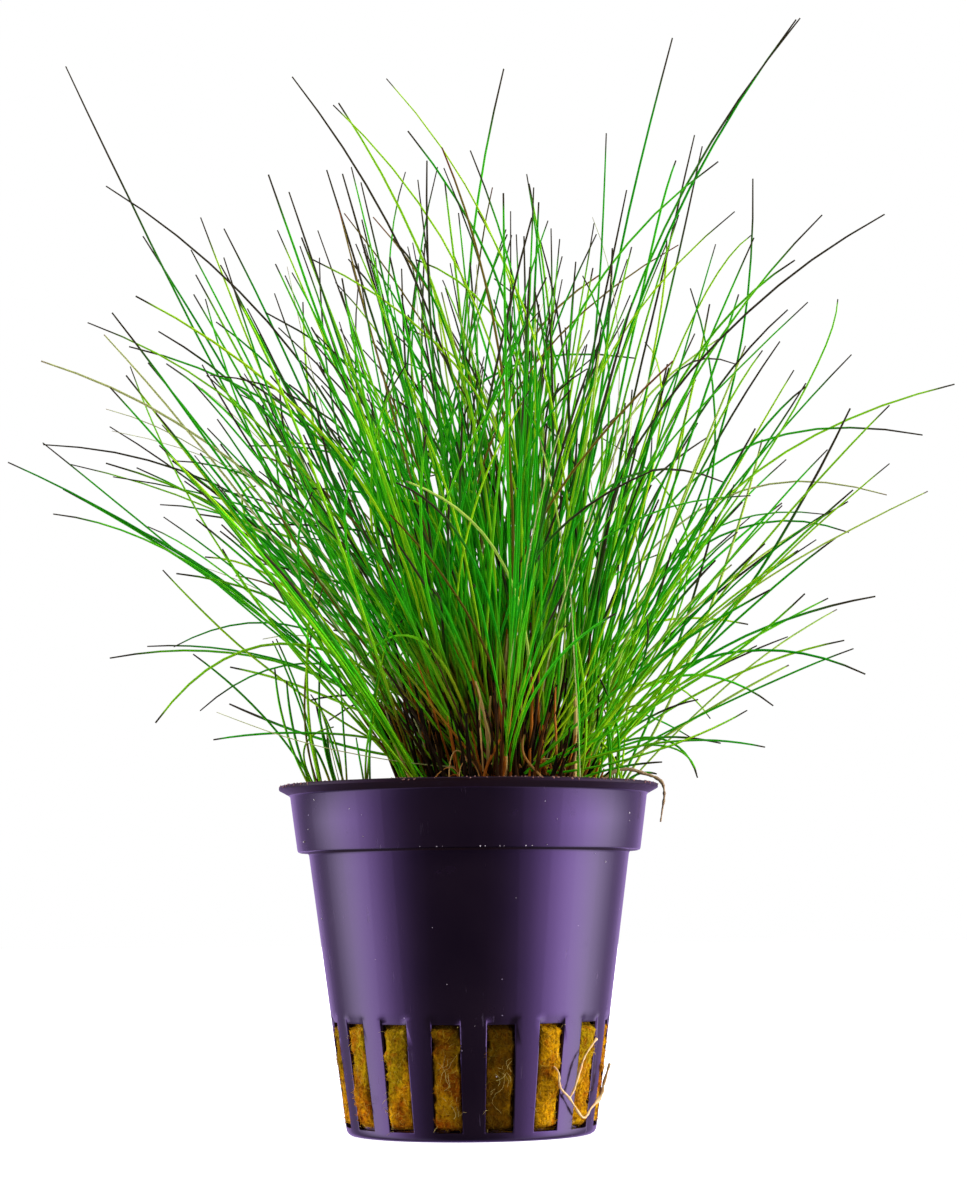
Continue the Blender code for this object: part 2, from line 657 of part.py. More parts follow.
def settled_grass():
    """All tufts and shoots by name, each clear of the others and of the dry leaf."""
    rng = random.Random(SEED)
    _, leaf_path, leaf_widths = strand("dry_leaf", DRY_LEAF, DRY_LEAF_WIDTHS)
    placed = [capsules_along(leaf_path, leaf_widths)]
    tufts = settle(FAN, fan_tuft, placed, rng) + settle(FILL, fill_tuft, placed, rng)
    shoots = settle(SHOOTS, shoot_tuft, placed, rng)
    named = {f"tuft_{i + 1:02d}": tuft for i, tuft in enumerate(tufts)}
    named |= {f"shoot_{i + 1:02d}": tuft for i, tuft in enumerate(shoots)}
    return named


def make_grass(parts, helpers):
    """Sweeps the blades of every tuft and shoot, and joins each with its sheath."""
    named = settled_grass()
    strands = [
        (f"{name}_blade_{i}", path, blade_widths(len(path)))
        for name, tuft in named.items()
        for i, path in enumerate(tuft.paths)
    ]
    meshes = swept_meshes(strands, make_section(BLADE_SIDES, helpers))
    leaf = new_material("leaf_green", LEAF)
    young = new_material("shoot_green", SHOOT)
    for name, tuft in named.items():
        make_tuft(name, tuft, meshes, parts, helpers, leaf if name.startswith("tuft") else young)


def main():
    clear_scene()
    parts = new_collection("dwarf_hairgrass")
    helpers = new_collection("helpers")
    make_loose_strands(parts, helpers)
    make_grass(parts, helpers)
    make_pot(parts)
    make_wool(parts)
    make_crown(parts)


main()
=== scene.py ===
"""Looks of the dwarf hairgrass in its net pot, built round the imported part.

Metres, +Z up, and -Y faces the viewer. Each sub-assembly is a class that builds and dresses its own pieces.
"""

import logging
import math
import random
from collections.abc import Callable, Iterable, Sequence
from dataclasses import dataclass
from enum import Enum

import bmesh
import bpy
import numpy as np
from mathutils import Euler, Matrix, Vector


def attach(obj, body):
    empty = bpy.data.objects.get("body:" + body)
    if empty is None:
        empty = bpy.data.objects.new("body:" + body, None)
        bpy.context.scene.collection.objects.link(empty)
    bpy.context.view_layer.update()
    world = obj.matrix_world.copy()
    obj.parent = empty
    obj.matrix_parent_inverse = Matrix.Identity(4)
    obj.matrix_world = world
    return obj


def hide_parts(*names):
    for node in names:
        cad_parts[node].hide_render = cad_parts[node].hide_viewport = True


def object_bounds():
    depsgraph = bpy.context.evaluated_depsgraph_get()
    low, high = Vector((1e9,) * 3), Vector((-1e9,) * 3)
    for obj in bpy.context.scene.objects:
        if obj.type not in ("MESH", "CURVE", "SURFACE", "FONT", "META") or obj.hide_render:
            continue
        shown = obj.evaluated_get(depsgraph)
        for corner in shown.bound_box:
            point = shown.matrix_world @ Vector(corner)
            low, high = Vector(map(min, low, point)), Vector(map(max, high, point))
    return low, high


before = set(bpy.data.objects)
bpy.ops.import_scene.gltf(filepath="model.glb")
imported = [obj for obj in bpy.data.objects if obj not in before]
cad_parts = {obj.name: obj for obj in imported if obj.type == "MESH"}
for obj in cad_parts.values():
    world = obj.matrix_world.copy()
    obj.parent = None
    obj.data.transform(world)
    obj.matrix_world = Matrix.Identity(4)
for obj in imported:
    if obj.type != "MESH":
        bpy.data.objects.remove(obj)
CAD_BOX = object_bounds()

LOG = logging.getLogger("hairgrass")
MM = 0.001
UP = Vector((0.0, 0.0, 1.0))
ROOT_BODY = "root"
Colour = tuple[float, float, float]
Row = tuple[float, ...]
Pair = tuple[float, float]
Object = bpy.types.Object
Mesh = bpy.types.Mesh
Material = bpy.types.Material
Tree = bpy.types.NodeTree
Node = bpy.types.Node
Socket = bpy.types.NodeSocket
Input = Socket | float | str | Sequence[float]


# Node helpers


class NodeBoard:
    """Adds nodes to one tree and joins them."""

    def __init__(self, tree: Tree) -> None:
        """Keeps the shader or geometry tree."""
        self.tree = tree

    def add(self, kind: str, **settings: object) -> Node:
        """Adds one node.

        Args:
            kind: The node's type name.
            **settings: Properties to set on it.

        Returns:
            The new node.
        """
        node = self.tree.nodes.new(kind)
        for key, value in settings.items():
            setattr(node, key, value)
        return node

    def feed(self, socket: Socket, value: Input) -> None:
        """Links a socket into another, or sets its constant.

        Args:
            socket: The input socket.
            value: Another node's output, or a constant.
        """
        if isinstance(value, Socket):
            self.tree.links.new(value, socket)
        else:
            socket.default_value = value

    def put(self, node: Node | str, *values: Input, **named: Input) -> Socket:
        """Feeds a node's first inputs in their order, and others by name.

        Args:
            node: The node, or the type name of a new one.
            *values: Its first inputs.
            **named: Other inputs, the spaces of their names written as underscores.

        Returns:
            Its first output.
        """
        node = self.add(node) if isinstance(node, str) else node
        for socket, value in zip(node.inputs, values):
            self.feed(socket, value)
        for name, value in named.items():
            self.feed(node.inputs[name.replace("_", " ")], value)
        return node.outputs[0]

    def named(self, sockets: Iterable[Socket], identifier: str) -> Socket:
        """The one of a node's inputs or outputs that has the identifier."""
        return next(socket for socket in sockets if socket.identifier == identifier)

    def math(self, operation: str, *values: Input) -> Socket:
        """The result of a Math node."""
        return self.put(self.add("ShaderNodeMath", operation=operation), *values)

    def plus(self, first: Input, second: Input) -> Socket:
        """The sum of two values."""
        return self.math("ADD", first, second)

    def minus(self, first: Input, second: Input) -> Socket:
        """The first value less the second."""
        return self.math("SUBTRACT", first, second)

    def times(self, first: Input, second: Input) -> Socket:
        """The product of two values."""
        return self.math("MULTIPLY", first, second)

    def most(self, first: Input, *others: Input) -> Socket:
        """The largest of some values.

        Args:
            first: A value.
            *others: The values that it is compared with.

        Returns:
            The output socket.
        """
        for other in others:
            first = self.math("MAXIMUM", first, other)
        return first

    def vector(self, operation: str, *values: Input, **named: Input) -> Socket:
        """The vector result of a Vector Math node."""
        return self.put(self.add("ShaderNodeVectorMath", operation=operation), *values, **named)

    def parts(self, vector: Socket) -> Sequence[Socket]:
        """The X, Y and Z of a vector."""
        return self.put("ShaderNodeSeparateXYZ", vector).node.outputs

    def blend(self, share: Input, first: Input, second: Input, kind: str = "VECTOR") -> Socket:
        """A Mix node's result.

        Args:
            share: How much of the second value shows.
            first: The first value.
            second: The second value.
            kind: FLOAT, VECTOR or RGBA.

        Returns:
            The output socket.
        """
        ending = {"FLOAT": "Float", "VECTOR": "Vector", "RGBA": "Color"}[kind]
        node = self.add("ShaderNodeMix", data_type=kind)
        for name, value in (("Factor_Float", share), ("A_" + ending, first), ("B_" + ending, second)):
            self.feed(self.named(node.inputs, name), value)
        return self.named(node.outputs, "Result_" + ending)

    def step(self, value: Input, low: Input, high: Input, *ends: Input) -> Socket:
        """Turns a value between low and high smoothly into one from 0 to 1, or from end to end."""
        node = self.add("ShaderNodeMapRange", interpolation_type="SMOOTHSTEP")
        return self.put(node, value, low, high, *ends)


class Surface(NodeBoard):
    """A material with one principled shader, and short ways to pattern it."""

    def __init__(self, name: str, **constants: Input) -> None:
        """Makes the material.

        Args:
            name: The material's name.
            **constants: Shader values, the spaces of their names written as underscores.
        """
        self.material = bpy.data.materials.new(name)
        self.material.use_nodes = True
        super().__init__(self.material.node_tree)
        self.shader = self.tree.nodes["Principled BSDF"]
        self.put(self.shader, **constants)
        self.place = self.add("ShaderNodeTexCoord").outputs["Object"]

    def read(self, name: str, output: str = "Fac") -> Socket:
        """What a named attribute of the mesh holds."""
        return self.add("ShaderNodeAttribute", attribute_name=name).outputs[output]

    def noise(self, scale: float, detail: float = 2.0, upright: float = 1.0) -> Socket:
        """Noise with a scale per metre, a number of finer layers, and a share of its scale along Z."""
        place = self.vector("MULTIPLY", self.place, (1.0, 1.0, upright))
        return self.put("ShaderNodeTexNoise", Vector=place, Scale=scale, Detail=detail)

    def ramp(self, share: Socket, *stops: tuple[float, Colour]) -> Socket:
        """A colour that changes along a value.

        Args:
            share: The value, from 0 to 1.
            *stops: Places and linear colours, in order.

        Returns:
            The colour socket.
        """
        node = self.add("ShaderNodeValToRGB")
        bars = node.color_ramp.elements
        while len(bars) < len(stops):
            bars.new(1.0)
        for bar, (place, colour) in zip(bars, stops):
            bar.position = place
            bar.color = (*colour, 1.0)
        return self.put(node, share)

    def coats(self, colour: Input, *coats: tuple[Socket, float, Colour]) -> Socket:
        """A colour with coats of constant colours over it.

        Args:
            colour: The colour below.
            *coats: Where each coat lies, how much of it shows there, and its colour.

        Returns:
            The colour socket.
        """
        for share, strength, coat in coats:
            colour = self.blend(self.times(share, strength), colour, (*coat, 1.0), "RGBA")
        return colour

    def specks(self, scale: float, size: float, empty: float) -> Socket:
        """A mask of scattered round specks.

        Args:
            scale: Cells per metre.
            size: A speck's radius as a share of its cell.
            empty: The share of cells that have no speck.

        Returns:
            A socket that is 1 on the specks.
        """
        away = self.put("ShaderNodeTexVoronoi", Vector=self.place, Scale=scale)
        chance = self.put("ShaderNodeSeparateColor", away.node.outputs["Color"])
        return self.times(self.math("LESS_THAN", away, size), self.math("GREATER_THAN", chance, empty))

    def bump(self, height: Socket, strength: float, distance: float) -> None:
        """Raises the surface by a pattern from 0 to 1, whose strength and full height are given."""
        raised = self.put("ShaderNodeBump", Height=height, Strength=strength, Distance=distance)
        self.feed(self.shader.inputs["Normal"], raised)

    def paint(self, colour: Input, **others: Input) -> Material:
        """Gives the shader its colour and other values, and hands over the finished material."""
        self.put(self.shader, Base_Color=colour, **others)
        return self.material


# Finishes


@dataclass(frozen=True)
class PotPlastic:
    """Near-black moulded plastic with a violet gloss, scratches, scuffs and dust, clean, or dark and dull
    with dirt and painted shade.
    """

    name: str = "pot_plastic"
    gloss: float = 0.7
    grime_and_shade_amount: float = 0.0
    deep: Colour = (0.0080, 0.0045, 0.0065)
    clear: Colour = (0.0160, 0.0090, 0.0130)
    dust: Colour = (0.42, 0.36, 0.47)
    # Dark reddish colour of the dirt and painted shade patches.
    grime_and_shade: Colour = (0.014, 0.006, 0.006)
    gloss_tint: Row = (0.52, 0.27, 1.0, 1.0)
    smooth: float = 0.2
    scuffed: float = 0.38

    def material(self) -> Material:
        """Builds the finish.

        Returns:
            The material.
        """
        skin = Surface(self.name, Specular_Tint=self.gloss_tint, Specular_IOR_Level=self.gloss)
        cloud = skin.noise(90.0, 4.0)
        streak = skin.noise(1400.0, 3.0, 0.035)
        scratch = skin.times(skin.step(streak, 0.66, 0.70), skin.step(cloud, 0.5, 0.62))
        scuff = skin.times(skin.step(skin.noise(260.0, 5.0), 0.62, 0.74), 0.5)
        specks = skin.most(skin.specks(330.0, 0.06, 0.965), skin.specks(900.0, 0.10, 0.98))
        # Dark, dull patches of the second finish: dirt on the lip, and painted shade in the crease under the
        # collar step and on the flange's underside.
        grime_and_shade_mask = skin.step(skin.noise(700.0, 3.0), 0.3, 0.55, 0.6 * self.grime_and_shade_amount, self.grime_and_shade_amount)
        colour = skin.ramp(cloud, (0.3, self.deep), (0.75, self.clear))
        colour = skin.coats(
            colour, (scratch, 0.07, self.dust), (specks, 0.5, self.dust), (grime_and_shade_mask, 1.0, self.grime_and_shade)
        )
        height = skin.plus(skin.times(skin.noise(2600.0), 0.35), skin.times(specks, 0.8))
        skin.bump(skin.minus(height, skin.times(scratch, 0.4)), 0.25, 0.05 * MM)
        worn = skin.most(scratch, specks, scuff, grime_and_shade_mask)
        return skin.paint(colour, Roughness=skin.step(worn, 0.0, 1.0, self.smooth, self.scuffed))


@dataclass(frozen=True)
class WoolPatches:
    """The colours of mineral wool: golden brown, rust and olive in patches."""

    golden: Colour = (0.70, 0.335, 0.004)
    rust: Colour = (0.38, 0.085, 0.003)
    olive: Colour = (0.34, 0.24, 0.004)

    def colour(self, skin: Surface) -> Socket:
        """Adds the patches to a surface, more olive higher up.

        Args:
            skin: The surface.

        Returns:
            The colour socket.
        """
        raised = skin.step(skin.parts(skin.place)[2], 4.0 * MM, 15.0 * MM, -0.1, 0.08)
        green = skin.step(skin.plus(skin.noise(110.0), raised), 0.48, 0.64)
        colour = skin.ramp(skin.noise(150.0, 3.0), (0.42, self.rust), (0.50, self.golden))
        return skin.coats(colour, (green, 0.8, self.olive))


@dataclass(frozen=True)
class MineralWool:
    """Felted wool, with painted shade in the hollows of its felt and over its front, and a painted highlight
    on its raised felt.
    """

    patches: WoolPatches = WoolPatches()
    painted_shade: Colour = (0.055, 0.018, 0.001)
    pale: Colour = (0.66, 0.40, 0.03)

    def material(self) -> Material:
        """Builds the finish.

        Returns:
            The material.
        """
        skin = Surface("wool", Roughness=0.95, Specular_IOR_Level=0.0)
        felt = skin.noise(2600.0, 3.0)
        colour = skin.coats(
            self.patches.colour(skin),
            (skin.step(skin.noise(900.0, 3.0), 0.48, 0.34), 0.7, self.patches.rust),
            # Painted shade in the hollows of the felt's bump, and a painted highlight on its raised tops.
            (skin.step(felt, 0.50, 0.36), 0.6, self.painted_shade),
            (skin.step(felt, 0.56, 0.68), 0.5, self.pale),
            # Painted shade over the front of the wool, which faces away from the side lights.
            (skin.read("damp"), 0.93, self.painted_shade),
        )
        skin.bump(felt, 1.0, 0.2 * MM)
        return skin.paint(colour)


@dataclass(frozen=True)
class Felt:
    """Single wool fibres, some paler, with painted shade on those over the wool's front."""

    patches: WoolPatches = WoolPatches()
    dark: Colour = (0.22, 0.065, 0.002)
    golden: Colour = (0.74, 0.37, 0.006)
    pale: Colour = (0.90, 0.70, 0.12)
    damp: Colour = (0.046, 0.023, 0.002)

    def material(self) -> Material:
        """Builds the finish.

        Returns:
            The material.
        """
        skin = Surface("wool_fibre", Roughness=0.8, Specular_IOR_Level=0.05)
        stops = ((0.0, self.dark), (0.38, self.golden), (0.76, self.golden), (0.95, self.pale))
        colour = skin.blend(0.42, skin.ramp(skin.read("tone"), *stops), self.patches.colour(skin), "RGBA")
        fleck = skin.step(skin.noise(700.0), 0.47, 0.66)
        # The fibres over the wool's front get painted shade too.
        return skin.paint(skin.coats(colour, (fleck, 0.6, self.dark), (skin.read("damp"), 0.88, self.damp)))


@dataclass(frozen=True)
class GrassBlade:
    """A living blade: brown at its sheath, green along its length, dark or pale at its tip."""

    name: str = "leaf"
    green: Colour = (0.004, 0.270, 0.002)
    bright: Colour = (0.045, 0.500, 0.003)
    lime: Colour = (0.440, 0.720, 0.008)
    husk_black: Colour = (0.012, 0.006, 0.002)
    husk_brown: Colour = (0.150, 0.060, 0.006)
    husk_rust: Colour = (0.550, 0.180, 0.012)
    husk_olive: Colour = (0.330, 0.380, 0.010)
    tip: Colour = (0.034, 0.028, 0.012)
    wilt: Colour = (0.60, 0.54, 0.32)
    rust: Colour = (0.20, 0.055, 0.012)
    black: Colour = (0.018, 0.009, 0.005)
    sheath_low: float = 6.0 * MM
    sheath_high: float = 26.0 * MM
    least_tip: float = 0.001

    def material(self) -> Material:
        """Builds the finish. The look attribute holds yellowness, dark tip share and dryness.

        Returns:
            The material.
        """
        skin = Surface(self.name, Specular_IOR_Level=0.04)
        yellow, dark, dry = skin.parts(skin.read("look", "Vector"))
        streak = skin.noise(3800.0, 2.0, 0.07)
        mottle = skin.noise(210.0, 3.0)
        tone = skin.plus(yellow, skin.times(skin.minus(mottle, 0.5), 0.35))
        fresh = skin.ramp(tone, (0.0, self.green), (0.45, self.bright), (1.0, self.lime))
        low = skin.ramp(
            skin.plus(skin.read("base"), skin.times(mottle, 0.12)),
            (0.06, self.husk_black),
            (0.3, self.husk_brown),
            (0.46, self.husk_rust),
            (0.56, self.husk_olive),
            (0.8, self.bright),
            (1.0, self.lime),
        )
        grown_out = skin.step(skin.read("rise"), self.sheath_low, self.sheath_high)
        fresh = skin.blend(grown_out, low, fresh, "RGBA")
        burnt = skin.math("DIVIDE", skin.minus(1.0, skin.read("along")), skin.most(dark, self.least_tip))
        fresh = skin.coats(fresh, (skin.step(burnt, 1.1, 0.35), 1.0, self.tip))
        straw = skin.ramp(yellow, (0.0, self.black), (0.45, self.rust), (1.0, self.wilt))
        colour = skin.blend(dry, fresh, straw, "RGBA")
        colour = skin.coats(colour, (skin.step(streak, 0.5, 0.7), 0.22, self.tip))
        skin.bump(streak, 0.5, 0.04 * MM)
        return skin.paint(colour, Roughness=skin.step(streak, 0.3, 0.7, 0.42, 0.6))


@dataclass(frozen=True)
class DeadSheath:
    """Old brown and black sheaths, rust and straw among them."""

    black: Colour = (0.008, 0.0035, 0.0015)
    brown: Colour = (0.060, 0.022, 0.005)
    rust: Colour = (0.480, 0.130, 0.012)
    straw: Colour = (0.750, 0.500, 0.180)

    def material(self) -> Material:
        """Builds the finish. The look attribute's first value is its tone.

        Returns:
            The material.
        """
        skin = Surface("crown", Roughness=0.75, Specular_IOR_Level=0.08)
        streak = skin.noise(2400.0, 3.0, 0.12)
        tone = skin.plus(skin.parts(skin.read("look", "Vector"))[0], skin.times(skin.minus(streak, 0.5), 0.3))
        skin.bump(streak, 0.7, 0.08 * MM)
        stops = ((0.0, self.black), (0.35, self.brown), (0.7, self.rust), (1.0, self.straw))
        return skin.paint(skin.ramp(tone, *stops))


@dataclass(frozen=True)
class DriedStrand:
    """A bare root or a dead leaf: one pale and one dark tone along its fibres, aged beyond a place on X."""

    name: str
    pale: Colour
    dark: Colour
    aged: Colour = (0.34, 0.20, 0.06)
    aged_from: float = 1.0
    aged_run: float = 1.5 * MM

    def material(self) -> Material:
        """Builds the finish. By default the aged stretch is out of reach.

        Returns:
            The material.
        """
        skin = Surface(self.name, Roughness=0.6, Specular_IOR_Level=0.35)
        grain = skin.noise(1500.0, 4.0)
        share = skin.times(skin.step(grain, 0.35, 0.7), skin.step(skin.noise(420.0), 0.35, 0.7))
        skin.bump(grain, 0.6, 0.05 * MM)
        aged = skin.step(skin.parts(skin.place)[0], self.aged_from, self.aged_from + self.aged_run)
        colour = skin.ramp(share, (0.0, self.pale), (1.0, self.dark))
        return skin.paint(skin.coats(colour, (aged, 0.85, self.aged)))


# Geometry trees


class GrowthTree(NodeBoard):
    """A geometry tree with named inputs, which ends in Realize Instances and Set Material."""

    scatter = "GeometryNodeDistributePointsOnFaces"

    def __init__(self, name: str, **inputs: Sequence[str]) -> None:
        """Makes the empty tree.

        Args:
            name: The tree's name.
            **inputs: The names of its own inputs, by their type.
        """
        super().__init__(bpy.data.node_groups.new(name, "GeometryNodeTree"))
        face = self.tree.interface
        for kind, titles in {"Geometry": ["Geometry"], **inputs, "Material": ["Material"]}.items():
            for title in titles:
                face.new_socket(title, in_out="INPUT", socket_type="NodeSocket" + kind)
        face.new_socket("Geometry", in_out="OUTPUT", socket_type="NodeSocketGeometry")
        self.given = self.add("NodeGroupInput").outputs

    def field(self, name: str, kind: str = "FLOAT") -> Socket:
        """A named attribute's value."""
        return self.put(self.add("GeometryNodeInputNamedAttribute", data_type=kind), name)

    def store(self, geometry: Socket, name: str, value: Input, kind: str = "FLOAT") -> Socket:
        """The geometry with a value stored at its points."""
        node = self.add("GeometryNodeStoreNamedAttribute", data_type=kind)
        return self.put(node, geometry, Name=name, Value=value)

    def chance(self, low: float, high: float, seed: int, kind: str = "FLOAT") -> Socket:
        """A random value for each point, with a fixed seed.

        Args:
            low: The least value.
            high: The greatest value.
            seed: The seed.
            kind: FLOAT for one value, FLOAT_VECTOR for three.

        Returns:
            The value socket.
        """
        node = self.add("FunctionNodeRandomValue", data_type=kind)
        ending = "_001" if kind == "FLOAT" else ""
        for name, limit in (("Min", low), ("Max", high)):
            self.feed(self.named(node.inputs, name + ending), limit if ending else (limit,) * 3)
        self.put(node, Seed=seed)
        return self.named(node.outputs, "Value" + ending)

    def scattered(self, share: str) -> Socket:
        """Random points on the given surface: the density is the tree's times a named attribute."""
        density, seed = self.times(self.given["Density"], self.field(share)), self.given["Seed"]
        return self.put(self.scatter, self.given["Geometry"], Density=density, Seed=seed)

    def rotated(self, start: Socket, axis: str, angle: Socket) -> Socket:
        """A rotation turned by an angle about its own X, Y or Z."""
        turn = self.put("FunctionNodeEulerToRotation", self.put("ShaderNodeCombineXYZ", **{axis: angle}))
        return self.put(self.add("FunctionNodeRotateRotation", rotation_space="LOCAL"), start, turn)

    def tube(self, line: Socket, sides: Input, radius: Input, **others: Input) -> Socket:
        """A closed tube along a line, with a number of sides and a radius."""
        ring = self.put("GeometryNodeCurvePrimitiveCircle", Resolution=sides, Radius=radius)
        return self.put("GeometryNodeCurveToMesh", line, Profile_Curve=ring, Fill_Caps=True, **others)

    def end(self, geometry: Socket) -> Tree:
        """Closes the tree.

        Args:
            geometry: The finished geometry.

        Returns:
            The tree.
        """
        smooth = self.put("GeometryNodeSetShadeSmooth", geometry)
        real = self.put("GeometryNodeRealizeInstances", smooth)
        dressed = self.put("GeometryNodeSetMaterial", real, Material=self.given["Material"])
        self.feed(self.add("NodeGroupOutput").inputs[0], dressed)
        return self.tree


def strand_tree() -> Tree:
    """The tree that grows a tapered strand along a cubic curve from each point of a mesh.

    Returns:
        The tree. Its points carry lower, upper, tip and look (vectors), foot and width (radii) and base.
    """
    sizes = ("Sheath Height", "Point", "Tip Share", "Waver", "Waver Scale")
    tree = GrowthTree("strand_tree", Int=("Sides", "Steps"), Float=sizes)
    points = tree.put("GeometryNodeMeshToPoints", tree.given["Geometry"])
    points = tree.store(points, "start", tree.put("GeometryNodeInputPosition"), "FLOAT_VECTOR")
    line = tree.put("GeometryNodeCurvePrimitiveLine")
    line = tree.put("GeometryNodeResampleCurve", line, Count=tree.plus(tree.given["Steps"], 1.0))
    strands = tree.put("GeometryNodeInstanceOnPoints", points, Instance=line)
    strands = tree.put("GeometryNodeRealizeInstances", strands)

    strands = tree.store(strands, "along", tree.put("GeometryNodeSplineParameter"))
    share = tree.field("along")
    ends = [tree.field(name, "FLOAT_VECTOR") for name in ("start", "lower", "upper", "tip")]
    while len(ends) > 1:
        ends = [tree.blend(share, first, second) for first, second in zip(ends, ends[1:])]
    noise = tree.put("ShaderNodeTexNoise", Vector=ends[0], Scale=tree.given["Waver Scale"])
    sway = tree.vector("SUBTRACT", noise.node.outputs["Color"], (0.5, 0.5, 0.5))
    hump = tree.times(share, tree.minus(1.0, share))
    sway = tree.vector("SCALE", sway, Scale=tree.times(hump, tree.given["Waver"]))
    strands = tree.put("GeometryNodeSetPosition", strands, Position=tree.vector("ADD", ends[0], sway))

    rise = tree.add("GeometryNodeSplineParameter").outputs["Length"]
    strands = tree.store(strands, "rise", rise)
    strands = tree.store(strands, "look", tree.field("look", "FLOAT_VECTOR"), "FLOAT_VECTOR")
    strands = tree.store(strands, "base", tree.field("base"))
    radii = (tree.field("foot"), tree.field("width"))
    swell = tree.step(tree.field("rise"), 0.0, tree.given["Sheath Height"], *radii)
    worn = tree.math("POWER", share, tree.given["Point"])
    fade = tree.blend(worn, 1.0, tree.given["Tip Share"], "FLOAT")
    return tree.end(tree.tube(strands, tree.given["Sides"], 1.0, Scale=tree.times(swell, fade)))


def felt_tree() -> Tree:
    """The tree that lays short bent fibres at random on a surface.

    Returns:
        The tree. The surface's vertices carry a thickness value, hairy, from 0 to 1.
    """
    tree = GrowthTree("felt_tree", Float=("Density", "Length", "Radius", "Lift"), Int=("Seed",))
    points = tree.scattered("hairy")
    facing = tree.rotated(points.node.outputs["Rotation"], "Z", tree.chance(-math.pi, math.pi, 5))
    facing = tree.rotated(facing, "Y", tree.times(tree.chance(-0.1, 1.0, 8), tree.given["Lift"]))
    ends = {"Start": (-0.5, 0.0, 0.0), "Middle": (0.0, 0.22, 0.12), "End": (0.5, 0.0, 0.0)}
    arc = tree.put("GeometryNodeCurveQuadraticBezier", Resolution=3, **ends)
    fibre = tree.tube(arc, 3, tree.math("DIVIDE", tree.given["Radius"], tree.given["Length"]))
    size = tree.times(tree.chance(0.5, 1.4, 9), tree.given["Length"])
    points = tree.store(points, "tone", tree.chance(0.0, 1.0, 3))
    return tree.end(
        tree.put("GeometryNodeInstanceOnPoints", points, Instance=fibre, Rotation=facing, Scale=size)
    )


def crumb_tree() -> Tree:
    """The tree that scatters angular crumbs on a surface.

    Returns:
        The tree. The surface's vertices carry a density share, crumbly, from 0 to 1.
    """
    tree = GrowthTree("crumb_tree", Float=("Density", "Size"), Int=("Seed",))
    look = tree.put("ShaderNodeCombineXYZ", tree.chance(0.0, 0.85, 4))
    points = tree.store(tree.scattered("crumbly"), "look", look, "FLOAT_VECTOR")
    ball = tree.put("GeometryNodeMeshIcoSphere", Subdivisions=1, Radius=1.0)
    size = tree.vector("SCALE", tree.chance(0.35, 1.0, 6, "FLOAT_VECTOR"), Scale=tree.given["Size"])
    facing = tree.put("FunctionNodeEulerToRotation", tree.chance(0.0, math.tau, 7, "FLOAT_VECTOR"))
    return tree.end(
        tree.put("GeometryNodeInstanceOnPoints", points, Instance=ball, Rotation=facing, Scale=size)
    )


# Mesh helpers


def placed(name: str, data: bpy.types.ID) -> Object:
    """A new object in the scene.

    Args:
        name: The object's name.
        data: Its mesh, curve or camera.

    Returns:
        The object.
    """
    thing = bpy.data.objects.new(name, data)
    bpy.context.scene.collection.objects.link(thing)
    return thing


def plain_mesh(thing: Object) -> Mesh:
    """The mesh that an object shows, with its modifiers in it."""
    return bpy.data.meshes.new_from_object(thing.evaluated_get(bpy.context.evaluated_depsgraph_get()))


def closed(name: str, shell: bmesh.types.BMesh) -> Mesh:
    """A mesh from a shell, which is freed.

    Args:
        name: The mesh's name.
        shell: The shell.

    Returns:
        The mesh.
    """
    mesh = bpy.data.meshes.new(name)
    shell.to_mesh(mesh)
    shell.free()
    return mesh


def round_point(radius: float, turn: float, height: float) -> Row:
    """A point round the pot's axis, its turn counted from -Y towards +X."""
    return radius * math.sin(turn), -radius * math.cos(turn), height


def turns(count: int) -> list[float]:
    """That many even steps of a full turn."""
    return [math.tau * i / count for i in range(count)]


def ringed(name: str, rings: Sequence[Sequence[Row]], ends: Sequence[Row] = ()) -> Mesh:
    """A smooth skin over closed rings of points.

    Args:
        name: The mesh's name.
        rings: The points of each ring, as many in each.
        ends: The middle of the first and of the last ring, where they are closed.

    Returns:
        The mesh, its faces outwards.
    """
    shell = bmesh.new()
    grid = [[shell.verts.new(point) for point in ring] for ring in rings]
    for lower, upper in zip(grid, grid[1:]):
        for corners in zip(lower, lower[1:] + lower[:1], upper[1:] + upper[:1], upper):
            shell.faces.new(corners)
    for ring, end in zip((grid[0], grid[-1]), ends):
        middle = shell.verts.new(end)
        for pair in zip(ring, ring[1:] + ring[:1]):
            shell.faces.new((middle, *pair))
    bmesh.ops.recalc_face_normals(shell, faces=shell.faces)
    mesh = closed(name, shell)
    mesh.shade_smooth()
    return mesh


def vertex_places(mesh: Mesh) -> np.ndarray:
    """The places of a mesh's vertices.

    Args:
        mesh: The mesh.

    Returns:
        One row for each vertex.
    """
    points = np.zeros(len(mesh.vertices) * 3)
    mesh.vertices.foreach_get("co", points)
    return points.reshape(-1, 3)


def store_values(mesh: Mesh, **values: Sequence[float]) -> None:
    """Stores one number for each vertex under each name."""
    for name, numbers in values.items():
        mesh.attributes.new(name, "FLOAT", "POINT").data.foreach_set("value", numbers)


def grown(mesh: Mesh, tree: Tree, **inputs: object) -> Mesh:
    """The plain mesh that a tree grows from a mesh.

    Args:
        mesh: The points or the surface that it starts from.
        tree: The geometry tree.
        **inputs: The tree's inputs, the spaces of their names written as underscores.

    Returns:
        A new mesh with no modifier behind it.
    """
    carrier = placed("carrier", mesh)
    modifier = carrier.modifiers.new("Grow", "NODES")
    modifier.node_group = tree
    for item in tree.interface.items_tree:
        key = item.name.replace(" ", "_")
        if item.in_out == "INPUT" and key in inputs:
            modifier[item.identifier] = inputs[key]
    made = plain_mesh(carrier)
    bpy.data.objects.remove(carrier)
    return made


